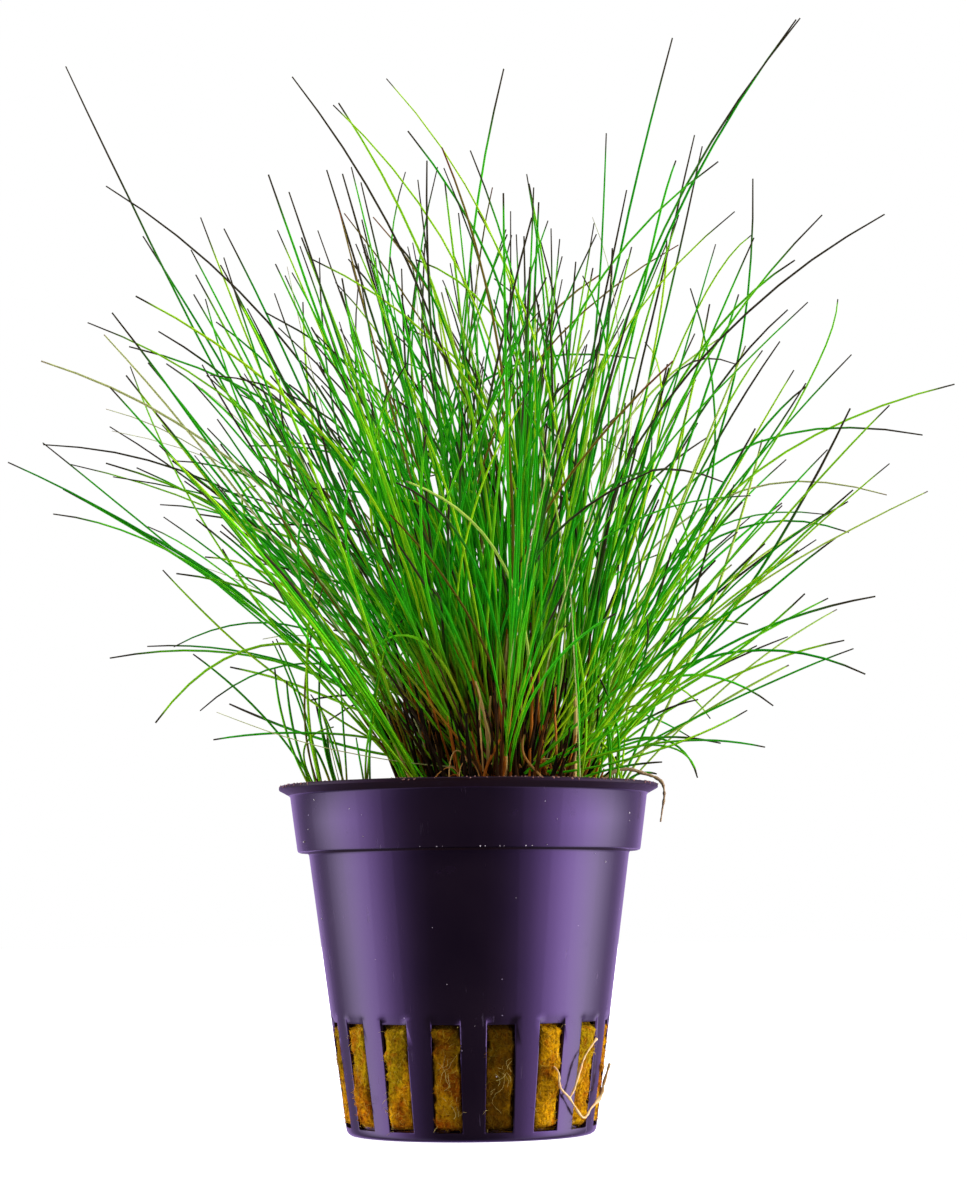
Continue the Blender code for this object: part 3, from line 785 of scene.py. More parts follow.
def joined(name: str, meshes: Sequence[Mesh]) -> Object:
    """One object at the origin that holds several meshes with their materials and attributes.

    Args:
        name: The object's name.
        meshes: The meshes, which may share materials.

    Returns:
        The object, linked to the scene.
    """
    things = [placed(name, mesh) for mesh in meshes]
    whole = things[0]
    if len(things) > 1:
        with bpy.context.temp_override(active_object=whole, selected_editable_objects=things):
            bpy.ops.object.join()
    whole.name = name
    return whole


def finished(piece: Object, slot: str, *nodes: str) -> None:
    """Lets a piece ride on the body and stand for its nodes, and logs its face count.

    Args:
        piece: The finished object.
        slot: The record's material slot, which is not used.
        *nodes: The solids that it stands for.
    """
    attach(piece, ROOT_BODY)
    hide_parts(*nodes)
    LOG.info("%s: %d faces", piece.name, len(piece.data.polygons))


# Grass: the sheaves are settled by the same rule and seed as the solids

# Camera's eye: the fan was measured from it as if every blade stood in the plane y = 0
EYE = Vector((2.4 * MM, -420.0 * MM, 30.0 * MM))

# Each sheaf's blades, left to right round the fan: tip x, tip z, then a point on the way, in millimetres
FAN = [
    [(-44.7, 58.4, -33.9, 68.0), (-36.4, 55.9, -30.0, 56.7)],
    [(-45.9, 69.4, -26.6, 67.0), (-42.1, 69.3, -34.7, 72.1), (-34.1, 61.0, -28.9, 58.7), (-34.0, 66.3)],
    [(-66.1, 96.3, -37.6, 80.1), (-58.1, 92.3), (-61.1, 99.1, -49.3, 89.4), (-43.7, 80.4, -26.6, 64.4)],
    [(-43.6, 88.1), (-38.9, 87.7)],
    [(-42.4, 96.3), (-41.0, 95.4), (-40.6, 93.3), (-33.4, 86.7)],
    [(-61.4, 111.1, -41.9, 102.0), (-54.7, 116.7, -37.6, 107.7), (-52.3, 114.9), (-45.9, 110.7)],
    [(-44.4, 115.3, -35.7, 109.3), (-39.4, 107.7), (-37.3, 101.0), (-36.4, 108.6)],
    [(-58.1, 154.9, -35.0, 107.4), (-52.1, 136.9, -32.9, 121.3), (-46.7, 129.4), (-39.3, 120.7)],
    [(-39.7, 127.3), (-39.0, 123.6), (-37.6, 120.0, -33.9, 107.7)],
    [(-38.3, 132.1, -27.6, 104.9), (-35.4, 125.0), (-34.9, 130.4)],
    [(-28.4, 138.4, -21.9, 119.4), (-27.1, 130.1), (-27.4, 125.1), (-23.6, 129.0)],
    [(-24.9, 153.0, -13.6, 135.7), (-19.9, 139.0), (-17.6, 138.4)],
    [(-18.9, 148.7, -3.4, 128.9), (-18.1, 149.0, -10.4, 135.4), (-16.3, 139.4), (-14.9, 137.1)],
    [(-11.1, 152.6, -0.1, 137.3), (-8.0, 144.7, 1.6, 129.7), (-8.4, 138.6, -10.4, 129.6), (-6.6, 137.4)],
    [(-3.7, 139.3, -6.4, 126.0), (-2.7, 137.3), (-0.7, 132.4), (1.1, 141.7, 6.0, 127.1)],
    [(6.1, 153.9, 1.6, 130.7), (6.9, 132.6), (9.3, 138.1, 11.4, 121.7)],
    [(10.3, 136.1), (11.0, 133.9), (14.0, 128.4)],
    [(21.0, 144.1, 20.1, 128.1), (16.3, 125.0), (19.9, 115.3), (30.9, 158.3, 24.7, 134.7)],
    [(33.9, 143.7), (35.0, 142.0, 28.4, 114.3), (31.1, 139.9, 29.4, 134.7)],
    [(49.7, 161.1, 24.7, 119.7), (49.1, 160.9, 25.6, 119.4), (37.3, 139.7, 24.7, 128.6), (36.7, 127.4)],
    [(42.3, 137.1, 40.7, 116.1), (42.3, 128.3), (32.9, 120.9, 36.1, 104.7)],
    [(52.3, 131.6, 41.1, 119.0), (47.0, 117.6, 40.4, 111.0), (47.7, 108.7)],
    [(61.4, 131.6, 41.9, 117.9), (54.3, 119.1, 53.1, 113.9), (56.1, 110.9)],
    [(70.9, 106.4, 36.4, 89.1), (66.1, 99.0, 45.1, 99.0), (52.3, 97.0)],
    [(45.6, 88.9), (43.0, 83.4)],
    [(60.7, 90.3, 48.1, 92.3), (55.1, 89.4, 42.3, 81.1), (55.1, 84.9, 47.4, 86.6), (50.4, 83.9)],
    [(48.6, 76.1, 43.7, 71.7), (43.6, 76.7)],
    [(51.9, 75.4, 40.0, 69.1), (58.7, 75.6, 49.1, 73.4), (46.0, 69.9)],
    [(54.1, 69.3, 38.3, 64.4), (55.4, 68.1, 40.1, 61.9)],
    [(57.0, 64.4, 43.7, 68.0), (43.7, 60.0, 36.4, 64.0)],
    [(42.4, 54.1, 32.7, 55.0), (32.6, 50.3, 31.0, 53.1)],
]

# Sheaves that lean towards the viewer and away: side, turn from that side, lean, length of the longest blade
FILL = [
    (-1, -58, 42, 70), (-1, -40, 28, 84), (-1, -22, 54, 68), (-1, -4, 36, 84),
    (-1, 17, 62, 62), (-1, 38, 24, 82), (-1, 57, 44, 68),
    (1, -58, 38, 72), (1, -42, 56, 66), (1, -20, 26, 88), (1, 2, 46, 76),
    (1, 22, 60, 64), (1, 44, 34, 80), (1, 58, 48, 66),
]

# Shoots from runners by the rim: foot x and y, then blades as in the fan, in millimetres
SHOOTS = [
    (-21.9, 1.0, [(-27.6, 66.0, -25.9, 57.0), (-25.9, 64.2, -24.6, 56.0), (-22.9, 55.2)]),
    (-20.6, -6.0, [(-21.6, 79.5, -23.0, 70.0), (-27.4, 70.3, -23.9, 61.4)]),
    (-19.0, 6.5, [(-21.0, 67.7, -20.9, 57.7), (-21.9, 61.7)]),
    (-17.6, -1.5, [(-18.3, 64.6, -18.0, 61.0), (-21.3, 61.0, -20.6, 58.9)]),
    (-14.6, -10.5, [(-6.7, 87.4, -13.2, 61.0), (-16.0, 56.0)]),
    (15.0, -15.0, [(14.8, 77.4, 15.8, 61.7)]),
    (20.2, -7.0, [(20.9, 69.3, 20.0, 59.7), (18.7, 64.6, 20.6, 60.2)]),
    (21.3, 1.5, [(25.1, 81.0, 23.2, 63.7)]),
    (20.9, 7.8, [(36.0, 87.4, 29.4, 66.8)]),
]

# The stray root with its side branch, and the dry leaf bent over the rim, in millimetres
STRAY_ROOT = [
    (10.96, -14.28, 10.3), (12.0, -15.3, 9.2), (12.2, -14.9, 7.2), (13.5, -13.4, 5.6), (15.4, -10.8, 2.8),
    (16.6, -9.1, 4.0), (18.0, -6.6, 5.4), (18.5, -5.6, 7.1), (19.4, -5.2, 9.9),
]
STRAY_BRANCH = [
    (13.5, -13.4, 5.6), (14.2, -13.0, 6.9), (15.0, -12.7, 9.4), (15.8, -12.0, 11.3), (17.4, -10.2, 13.5),
]
DRY_LEAF = [
    (18.6, -3.2, 48.9), (20.6, -2.9, 50.6), (22.8, -2.6, 51.0), (24.9, -2.3, 50.4), (26.6, -2.1, 49.8),
    (27.6, -2.0, 48.9), (27.8, -2.0, 47.2), (27.5, -2.1, 45.4), (27.2, -2.2, 43.5),
]
STRAY_WIDTHS = (0.24, 0.3, 0.16)
DRY_LEAF_WIDTHS = (0.2, 0.22, 0.12)

# The kinds of the blades that stand out, by their tips: x and z as seen
TIP_LOOKS = {
    "PALE": [(-61.4, 111.1), (-52.3, 114.9), (60.7, 90.3)],
    "LIME": [(-54.7, 116.7), (-18.9, 148.7), (-11.1, 152.6), (70.9, 106.4)],
    "GREEN": [(-45.9, 110.7), (-28.4, 138.4), (6.1, 153.9), (21.0, 144.1), (30.9, 158.3)],
    "DARK": [(33.9, 143.7), (-52.1, 136.9), (61.4, 131.6), (55.1, 89.4), (-24.9, 153.0)],
    "DARK_TIPPED": [(-58.1, 154.9), (66.1, 99.0)],
}

# Low blades over the right rim: foot, two points that draw the curve, tip; x and z as seen, then depth
LOW_ARCHES = [
    [(13.5, 48.5), (21.0, 57.0), (30.0, 56.0), (36.1, 54.7), -6.0],
    [(14.0, 48.5), (20.5, 58.0), (31.0, 57.5), (32.7, 49.8), -3.0],
    [(13.0, 48.5), (17.0, 50.8), (22.5, 51.8), (27.7, 52.1), -8.0],
    [(21.5, 48.0), (23.0, 50.6), (25.0, 50.9), (26.9, 50.4), -2.0],
    [(14.5, 48.5), (19.0, 54.5), (25.0, 59.5), (33.0, 61.0), 2.0],
]

# Dead leaves and roots at the crown's front: four points, x and z as seen, then depth, radius and tone
CROWN_STRANDS = [
    [(3.3, 52.0), (3.4, 56.0), (2.6, 58.0), (1.9, 60.6), -13.4, 0.13, 0.98],
    [(2.1, 51.0), (2.0, 55.0), (1.4, 58.0), (1.8, 61.4), -13.8, 0.12, 0.92],
    [(2.1, 49.0), (2.4, 52.0), (3.6, 54.0), (4.6, 55.6), -14.0, 0.20, 0.68],
    [(11.8, 48.6), (9.6, 51.6), (6.6, 52.8), (8.1, 56.2), -13.0, 0.20, 0.80],
    [(-2.6, 48.8), (-3.6, 55.4), (0.0, 56.4), (0.6, 48.8), -13.6, 0.09, 0.90],
    [(-1.2, 48.8), (-1.8, 53.8), (1.2, 54.4), (1.8, 48.8), -14.0, 0.08, 0.85],
    [(-5.6, 48.8), (-3.0, 53.2), (-2.0, 52.4), (-0.6, 48.8), -13.0, 0.08, 0.80],
    [(15.0, 48.8), (15.4, 54.0), (15.5, 58.0), (15.3, 62.0), -9.0, 0.30, 1.00],
    [(12.6, 48.8), (12.9, 53.0), (12.2, 58.0), (12.6, 63.0), -11.0, 0.18, 0.72],
    [(8.8, 48.8), (8.4, 54.0), (9.6, 59.0), (9.2, 64.5), -12.6, 0.22, 0.64],
    [(5.8, 48.8), (6.2, 54.0), (5.4, 59.0), (6.0, 66.0), -12.8, 0.24, 0.52],
]

Capsules = tuple[np.ndarray, np.ndarray, np.ndarray]


class Chance(random.Random):
    """A seeded source of chance, with the draws that strands need."""

    def stray(self, amount: float) -> float:
        """A number between minus and plus the amount."""
        return self.uniform(-amount, amount)

    def offset(self, amount: float) -> Vector:
        """An offset, as likely to each side."""
        return Vector([self.gauss(0.0, amount) for _ in range(3)])

    def way_out(self) -> Vector:
        """A level direction."""
        turn = self.uniform(0.0, math.tau)
        return Vector((math.cos(turn), math.sin(turn), 0.0))


def seen_point(x: float, z: float, depth: float) -> Vector:
    """A point that looks to stand at x, z in the plane y = 0, moved along the sight line to its depth."""
    flat = Vector((x, 0.0, z))
    return EYE + (flat - EYE) * ((depth - EYE.y) / -EYE.y)


def seen_places(points: Sequence[Row], depth: float) -> list[Vector]:
    """The places of points that are given in millimetres as they are seen, all at one depth."""
    return [seen_point(x * MM, z * MM, depth * MM) for x, z in points]


def radii_along(count: int, stops: Sequence[float], radii: Sequence[float]) -> list[float]:
    """Radii at even steps along a strand, from what they are at its stops."""
    return list(np.interp(np.linspace(0.0, 1.0, count), stops, radii))


def strand_widths(count: int, ends: Sequence[float]) -> list[float]:
    """Radii from the first to the middle to the last of three widths in millimetres."""
    return radii_along(count, (0.0, 0.5, 1.0), [width * MM for width in ends])


def capsules_along(path: Sequence[Vector], widths: Sequence[float]) -> Capsules:
    """Start, end and radius of each straight run of a strand."""
    radii = [max(pair) for pair in zip(widths, widths[1:])]
    return np.array(path[:-1]), np.array(path[1:]), np.array(radii)


def dots(a: np.ndarray, b: np.ndarray) -> np.ndarray:
    """Dot products along the last axis."""
    return np.einsum("...k,...k->...", a, b)


def clearance(one: Capsules, other: Capsules, parallel: float = 1e-18) -> float:
    """The smallest gap between two sets of capsules.

    Args:
        one: The first set.
        other: The second set.
        parallel: The least divisor where two runs are parallel.

    Returns:
        The gap in metres, below zero where they overlap.
    """
    start_a, end_a, radius_a = one[0][:, None], one[1][:, None], one[2][:, None]
    start_b, end_b, radius_b = other[0][None], other[1][None], other[2][None]
    along_a, along_b, between = end_a - start_a, end_b - start_b, start_a - start_b
    a, b, c = dots(along_a, along_a), dots(along_a, along_b), dots(along_a, between)
    e, f = dots(along_b, along_b), dots(along_b, between)
    spare = np.maximum(a * e - b * b, parallel)
    share_a = np.clip((b * f - c * e) / spare, 0.0, 1.0)
    share_b = np.clip((b * share_a + f) / e, 0.0, 1.0)
    share_a = np.clip((b * share_b - c) / a, 0.0, 1.0)
    apart = between + along_a * share_a[..., None] - along_b * share_b[..., None]
    return float((np.sqrt(dots(apart, apart)) - radius_a - radius_b).min())


@dataclass(frozen=True)
class BladeForm:
    """How a blade's solid is drawn: its radii, its steps and how it arches."""

    root: float = 0.36 * MM
    middle: float = 0.29 * MM
    tip: float = 0.09 * MM
    taper_start: float = 0.6
    arch: float = 0.12
    least_share: float = 0.25
    most_share: float = 0.85
    degrees_per_bend: float = 10.0
    straight_runs: int = 2
    most_runs: int = 7

    def way_share(self, root: Vector, via: Vector, tip: Vector) -> float:
        """How much of the way from root to tip lies before via."""
        first = (via - root).length
        return min(max(first / (first + (tip - via).length), self.least_share), self.most_share)

    def bend_through(self, root: Vector, via: Vector, tip: Vector) -> Vector:
        """The middle point of a quadratic curve from root to tip that passes through via."""
        share = self.way_share(root, via, tip)
        return (via - (1.0 - share) ** 2 * root - share * share * tip) / (2.0 * share * (1.0 - share))

    def arched_bend(self, root: Vector, tip: Vector) -> Vector:
        """The middle point of a blade that rises first and then leans out."""
        across = Vector((tip.x - root.x, tip.y - root.y, 0.0))
        return (root + tip) / 2 + UP * self.arch * across.length

    def path(self, root: Vector, bend: Vector, tip: Vector) -> list[Vector]:
        """Points along the blade, more of them where it turns more.

        Args:
            root: Where it starts.
            bend: The middle point of its curve.
            tip: Where it ends.

        Returns:
            The points.
        """
        turn = math.degrees((bend - root).angle(tip - bend))
        steps = min(self.straight_runs + int(turn / self.degrees_per_bend), self.most_runs)
        shares = [i / steps for i in range(steps + 1)]
        return [(1 - t) ** 2 * root + 2 * t * (1 - t) * bend + t * t * tip for t in shares]

    def widths(self, count: int) -> list[float]:
        """The blade's radius at each of its points: full for most of its length, then a fine tip."""
        return radii_along(count, (0.0, self.taper_start, 1.0), (self.root, self.middle, self.tip))


@dataclass(frozen=True)
class SheathForm:
    """A sheath's radii and height, and how its blades start in it."""

    root: float
    top: float
    height: float
    spread: float
    upright: float = 0.5
    start_share: float = 0.15
    seat_gap: float = 0.35 * MM
    runs: int = 3


class Sheaf:
    """Blades that rise from one sheath: its foot, its direction and the path of each blade."""

    def __init__(
        self,
        foot: Vector,
        blades: list[tuple[Vector, Vector]],
        sheath: SheathForm,
        form: BladeForm,
        rng: Chance,
    ) -> None:
        """Draws the sheaf.

        Args:
            foot: Where it stands.
            blades: Bend and tip of each blade.
            sheath: The sheath's sizes.
            form: How a blade is drawn.
            rng: The source of chance.
        """
        self.foot, self.blades, self.sheath, self.form = foot, blades, sheath, form
        heading = sum(((bend - foot).normalized() for bend, _ in blades), Vector())
        self.axis = (heading.normalized() + sheath.upright * UP).normalized()
        self.paths = []
        for bend, tip in blades:
            aside = Vector((rng.stray(1), rng.stray(1), 0.0)) * sheath.spread
            start = foot + self.axis * sheath.start_share * sheath.height + aside
            self.paths.append(form.path(start, bend, tip))

    def lifted(self, normal: Vector) -> "Sheaf":
        """Raises the foot so that the sheath's flat end stays clear of what it stands on.

        Args:
            normal: The normal of the surface below.

        Returns:
            The same sheaf.
        """
        tilt = self.axis.angle(normal)
        rise = normal * (self.sheath.seat_gap + self.sheath.root * math.sin(tilt))
        self.foot = self.foot + rise
        for path in self.paths:
            path[0] = path[0] + rise
        return self

    def capsules(self) -> Capsules:
        """What the sheaf takes up, for the distance to other sheaves.

        Returns:
            Start, end and radius of each straight run.
        """
        sheath = self.sheath
        levels = [i / sheath.runs for i in range(sheath.runs + 1)]
        spine = [self.foot + self.axis * sheath.height * level for level in levels]
        runs = [capsules_along(spine, [sheath.root + (sheath.top - sheath.root) * level for level in levels])]
        runs += [capsules_along(path, self.form.widths(len(path))) for path in self.paths]
        return tuple(np.concatenate(rows) for rows in zip(*runs))


@dataclass(frozen=True)
class Crown:
    """The low dome that the sheaves stand on."""

    x: float = 4.5 * MM
    radius: float = 14.5 * MM
    foot: float = 47.5 * MM
    rise: float = 4.5 * MM
    edge: float = 0.6 * MM

    def height(self, radius: float) -> float:
        """The dome's height at a distance from its middle."""
        share = min(radius / self.radius, 1.0)
        return self.foot + self.edge + self.rise * (1.0 - share * share)

    def seat(self, x: float, y: float) -> tuple[Vector, Vector]:
        """Finds the dome's surface.

        Args:
            x: The place on X.
            y: The place on Y.

        Returns:
            The point of the dome there, and its normal.
        """
        offset = Vector((x - self.x, y, 0.0))
        slope = 2.0 * self.rise / self.radius**2
        normal = Vector((slope * offset.x, slope * offset.y, 1.0)).normalized()
        return Vector((x, y, self.height(offset.length))), normal


@dataclass(frozen=True)
class Settling:
    """The rule that stands every sheaf where it is clear of the others."""

    crown: Crown = Crown()
    form: BladeForm = BladeForm()
    sheath: SheathForm = SheathForm(1.2 * MM, 0.6 * MM, 7.0 * MM, 0.3 * MM)
    shoot_sheath: SheathForm = SheathForm(0.75 * MM, 0.45 * MM, 4.0 * MM, 0.12 * MM)
    wool_top: float = 47.2 * MM
    depth_scatter: float = 3.0 * MM
    root_reach: float = 60.0 * MM
    root_share: float = 0.6
    root_spread: float = 4.5 * MM
    root_limit: float = 0.9
    depth_flare: float = 1.2
    wide_lean: float = 45.0 * MM
    sway: float = 16.0 * MM
    wide_sway: float = 8.0 * MM
    fill_blades: int = 4
    fill_roots: Pair = (2.0 * MM, 12.0 * MM)
    fill_root_stray: float = 3.0 * MM
    fill_turn: float = 7.0
    fill_turn_stray: float = 8.6
    fill_lean_stray: float = 5.0
    blade_turn_stray: float = 1.7
    blade_lean_stray: float = 3.0
    fill_shorter: float = 0.09
    shoot_stray_x: float = 0.4 * MM
    shoot_stray_y: float = 1.0 * MM
    clear: float = 0.3 * MM
    tries: int = 320
    seed: int = 26

    def seen_blades(
        self, foot: Vector, rows: Sequence[Row], depth: float, rng: Chance
    ) -> list[tuple[Vector, Vector]]:
        """Bend and tip of each blade of a row list.

        Args:
            foot: Where the sheaf stands.
            rows: Tips, and points on the way, as the viewer sees them.
            depth: The tips' depth, more or less.
            rng: The source of chance.

        Returns:
            Bend and tip of each blade.
        """
        blades = []
        for x, z, *via in rows:
            tip_depth = depth + rng.stray(self.depth_scatter)
            tip = seen_point(x * MM, z * MM, tip_depth)
            bend = self.form.arched_bend(foot, tip)
            if via:
                flat = [size * MM for size in via]
                share = self.form.way_share(foot, seen_point(*flat, foot.y), tip)
                point = seen_point(*flat, foot.y + (tip_depth - foot.y) * share)
                bend = self.form.bend_through(foot, point, tip)
            blades.append((bend, tip))
        return blades

    def fan_sheaf(self, rows: Sequence[Row], rng: Chance, freedom: float) -> Sheaf:
        """One try at a sheaf of the fan: its foot by the lean of its blades, its depth by chance.

        Args:
            rows: Its blades as seen.
            rng: The source of chance.
            freedom: How far it may stray, as a share.

        Returns:
            The sheaf.
        """
        crown = self.crown
        mean_x = sum(row[0] for row in rows) / len(rows) * MM
        lean = min(max((mean_x - crown.x) / self.root_reach, -1.0), 1.0)
        x = crown.x + crown.radius * self.root_share * lean + rng.stray(self.root_spread)
        widest = math.sqrt(max((self.root_limit * crown.radius) ** 2 - (x - crown.x) ** 2, 0.0))
        y = rng.stray(widest)
        foot, normal = crown.seat(x, y)
        farthest = max(abs(row[0] * MM - crown.x) for row in rows)
        sway = freedom * (self.sway if farthest < self.wide_lean else self.wide_sway)
        depth = self.depth_flare * y + rng.stray(sway)
        blades = self.seen_blades(foot, rows, depth, rng)
        return Sheaf(foot, blades, self.sheath, self.form, rng).lifted(normal)

    def fill_sheaf(self, row: Row, rng: Chance, freedom: float) -> Sheaf:
        """One try at a sheaf that leans towards the viewer or away.

        Args:
            row: Its side, turn, lean and length.
            rng: The source of chance.
            freedom: How far it may stray, as a share.

        Returns:
            The sheaf.
        """
        side, turn, lean, length = row
        turn += rng.stray(self.fill_turn_stray) * freedom
        lean += rng.stray(self.fill_lean_stray) * freedom
        reach = rng.uniform(*self.fill_roots)
        stray = rng.stray(self.fill_root_stray) * freedom
        x = self.crown.x + reach * math.sin(math.radians(turn)) + stray
        foot, normal = self.crown.seat(x, side * reach * math.cos(math.radians(turn)))
        blades = []
        for i in range(self.fill_blades):
            aside = self.fill_turn * (i / (self.fill_blades - 1) - 0.5)
            out = math.radians(turn + aside + rng.stray(self.blade_turn_stray))
            down = math.radians(lean + rng.stray(self.blade_lean_stray))
            size = length * MM * (1.0 - self.fill_shorter * i)
            flat = Vector((math.sin(out), side * math.cos(out), 0.0))
            tip = foot + (flat * math.sin(down) + UP * math.cos(down)) * size
            blades.append((self.form.arched_bend(foot, tip), tip))
        return Sheaf(foot, blades, self.sheath, self.form, rng).lifted(normal)

    def shoot(self, row: tuple, rng: Chance, freedom: float) -> Sheaf:
        """One try at a shoot by the rim, on the wool.

        Args:
            row: Its foot on X and Y, and its blades as seen.
            rng: The source of chance.
            freedom: How far it may stray, as a share.

        Returns:
            The sheaf.
        """
        x, y, rows = row
        stray_x = rng.stray(self.shoot_stray_x) * freedom
        stray_y = rng.stray(self.shoot_stray_y) * freedom
        foot = Vector((x * MM + stray_x, y * MM + stray_y, self.wool_top))
        blades = self.seen_blades(foot, rows, foot.y, rng)
        return Sheaf(foot, blades, self.shoot_sheath, self.form, rng).lifted(UP)

    def settle(self, rows: Sequence, make: Callable, placed_ones: list[Capsules], rng: Chance) -> list[Sheaf]:
        """Places one sheaf per row where it stands clear of those already placed.

        Args:
            rows: What each sheaf is made from.
            make: The method that makes one try.
            placed_ones: The capsules of what is placed, which grows.
            rng: The source of chance.

        Returns:
            The sheaves, in the order of the rows.
        """
        sheaves = []
        for row in rows:
            best, best_gap = None, -1.0
            for attempt in range(self.tries):
                sheaf = make(row, rng, 1.0 + attempt / self.tries)
                shape = sheaf.capsules()
                gap = min((clearance(shape, other) for other in placed_ones), default=1.0)
                if gap > best_gap:
                    best, best_gap, best_shape = sheaf, gap, shape
                if gap >= self.clear:
                    break
            placed_ones.append(best_shape)
            sheaves.append(best)
        return sheaves

    def all_sheaves(self) -> tuple[list[Sheaf], list[Sheaf]]:
        """Settles every sheaf, clear of the dry leaf too.

        Returns:
            The tufts, those of the fan first, and the shoots.
        """
        rng = Chance(self.seed)
        path = [Vector(point) * MM for point in DRY_LEAF]
        shapes = [capsules_along(path, strand_widths(len(path), DRY_LEAF_WIDTHS))]
        tufts = self.settle(FAN, self.fan_sheaf, shapes, rng)
        tufts += self.settle(FILL, self.fill_sheaf, shapes, rng)
        return tufts, self.settle(SHOOTS, self.shoot, shapes, rng)


@dataclass
class Blade:
    """One strand for the strand tree: a cubic centre line, two radii, a look and its base's greenness."""

    root: Vector
    lower: Vector
    upper: Vector
    tip: Vector
    foot: float
    width: float
    look: Row
    base: float = 0.0

    @classmethod
    def bent(cls, root: Vector, bend: Vector, tip: Vector, *finish: object) -> "Blade":
        """A blade along the quadratic curve through three control points."""
        return cls(root, root.lerp(bend, 2 / 3), tip.lerp(bend, 2 / 3), tip, *finish)

    def at(self, share: float) -> Vector:
        """The point of the centre line at a share of its way.

        Args:
            share: The share, from 0 to 1.

        Returns:
            The point.
        """
        ends = [self.root, self.lower, self.upper, self.tip]
        while len(ends) > 1:
            ends = [first.lerp(second, share) for first, second in zip(ends, ends[1:])]
        return ends[0]


class Strands:
    """Grows meshes from blades with one shared tree."""

    USUAL = {
        "Sides": 5,
        "Steps": 16,
        "Sheath_Height": 9.0 * MM,
        "Point": 9.0,
        "Tip_Share": 0.62,
        "Waver": 3.0 * MM,
        "Waver_Scale": 45.0,
    }

    def __init__(self) -> None:
        """Builds the tree."""
        self.tree = strand_tree()

    def mesh(self, blades: Sequence[Blade], finish: Material, **changes: float) -> Mesh:
        """Grows the blades.

        Args:
            blades: The strands.
            finish: Their finish.
            **changes: What differs from the tree's usual inputs.

        Returns:
            The grown mesh.
        """
        seeds = bpy.data.meshes.new("seeds")
        seeds.from_pydata([blade.root for blade in blades], [], [])
        for name in ("lower", "upper", "tip", "look"):
            values = np.array([getattr(blade, name) for blade in blades], np.float32)
            seeds.attributes.new(name, "FLOAT_VECTOR", "POINT").data.foreach_set("vector", values.ravel())
        sizes = {name: [getattr(blade, name) for blade in blades] for name in ("foot", "width", "base")}
        store_values(seeds, **sizes)
        return grown(seeds, self.tree, Material=finish, **(self.USUAL | changes))


class BladeKind(Enum):
    """The looks that a blade can have: yellowness range, dark tip range, dryness, and its share."""

    DARK_TIPPED = ((0.0, 0.4), (0.12, 0.55), 0.0, 0.24)
    GREEN = ((0.05, 0.6), (0.03, 0.15), 0.0, 0.53)
    LIME = ((0.6, 0.95), (0.02, 0.1), 0.0, 0.14)
    PALE = ((0.85, 1.0), (0.0, 0.02), 0.7, 0.045)
    RUSTY = ((0.2, 0.5), (0.0, 0.1), 0.85, 0.04)
    WILTED = ((0.8, 1.0), (0.0, 0.05), 0.3, 0.0)
    DARK = ((0.0, 0.3), (0.85, 1.2), 0.0, 0.0)

    def look(self, rng: Chance) -> Row:
        """A look of this kind."""
        yellow, dark, dry, _ = self.value
        return rng.uniform(*yellow), rng.uniform(*dark), dry

    @classmethod
    def pick(cls, rng: Chance, *kinds: "BladeKind") -> "BladeKind":
        """One of the given kinds, or of all, by its share."""
        kinds = kinds or tuple(cls)
        return rng.choices(kinds, [kind.value[3] for kind in kinds])[0]

    @classmethod
    def near(cls, tip: Vector, usual: "BladeKind", close: float = 1.5) -> "BladeKind":
        """The kind of a blade that the outline shows by its tip.

        Args:
            tip: The blade's tip.
            usual: The kind where the tip isn't listed.
            close: How near a listed tip has to be, in millimetres.

        Returns:
            The kind.
        """
        seen = (EYE + (tip - EYE) * (EYE.y / (EYE.y - tip.y))) / MM
        for name, places in TIP_LOOKS.items():
            if any(math.hypot(seen.x - x, seen.z - z) < close for x, z in places):
                return cls[name]
        return usual


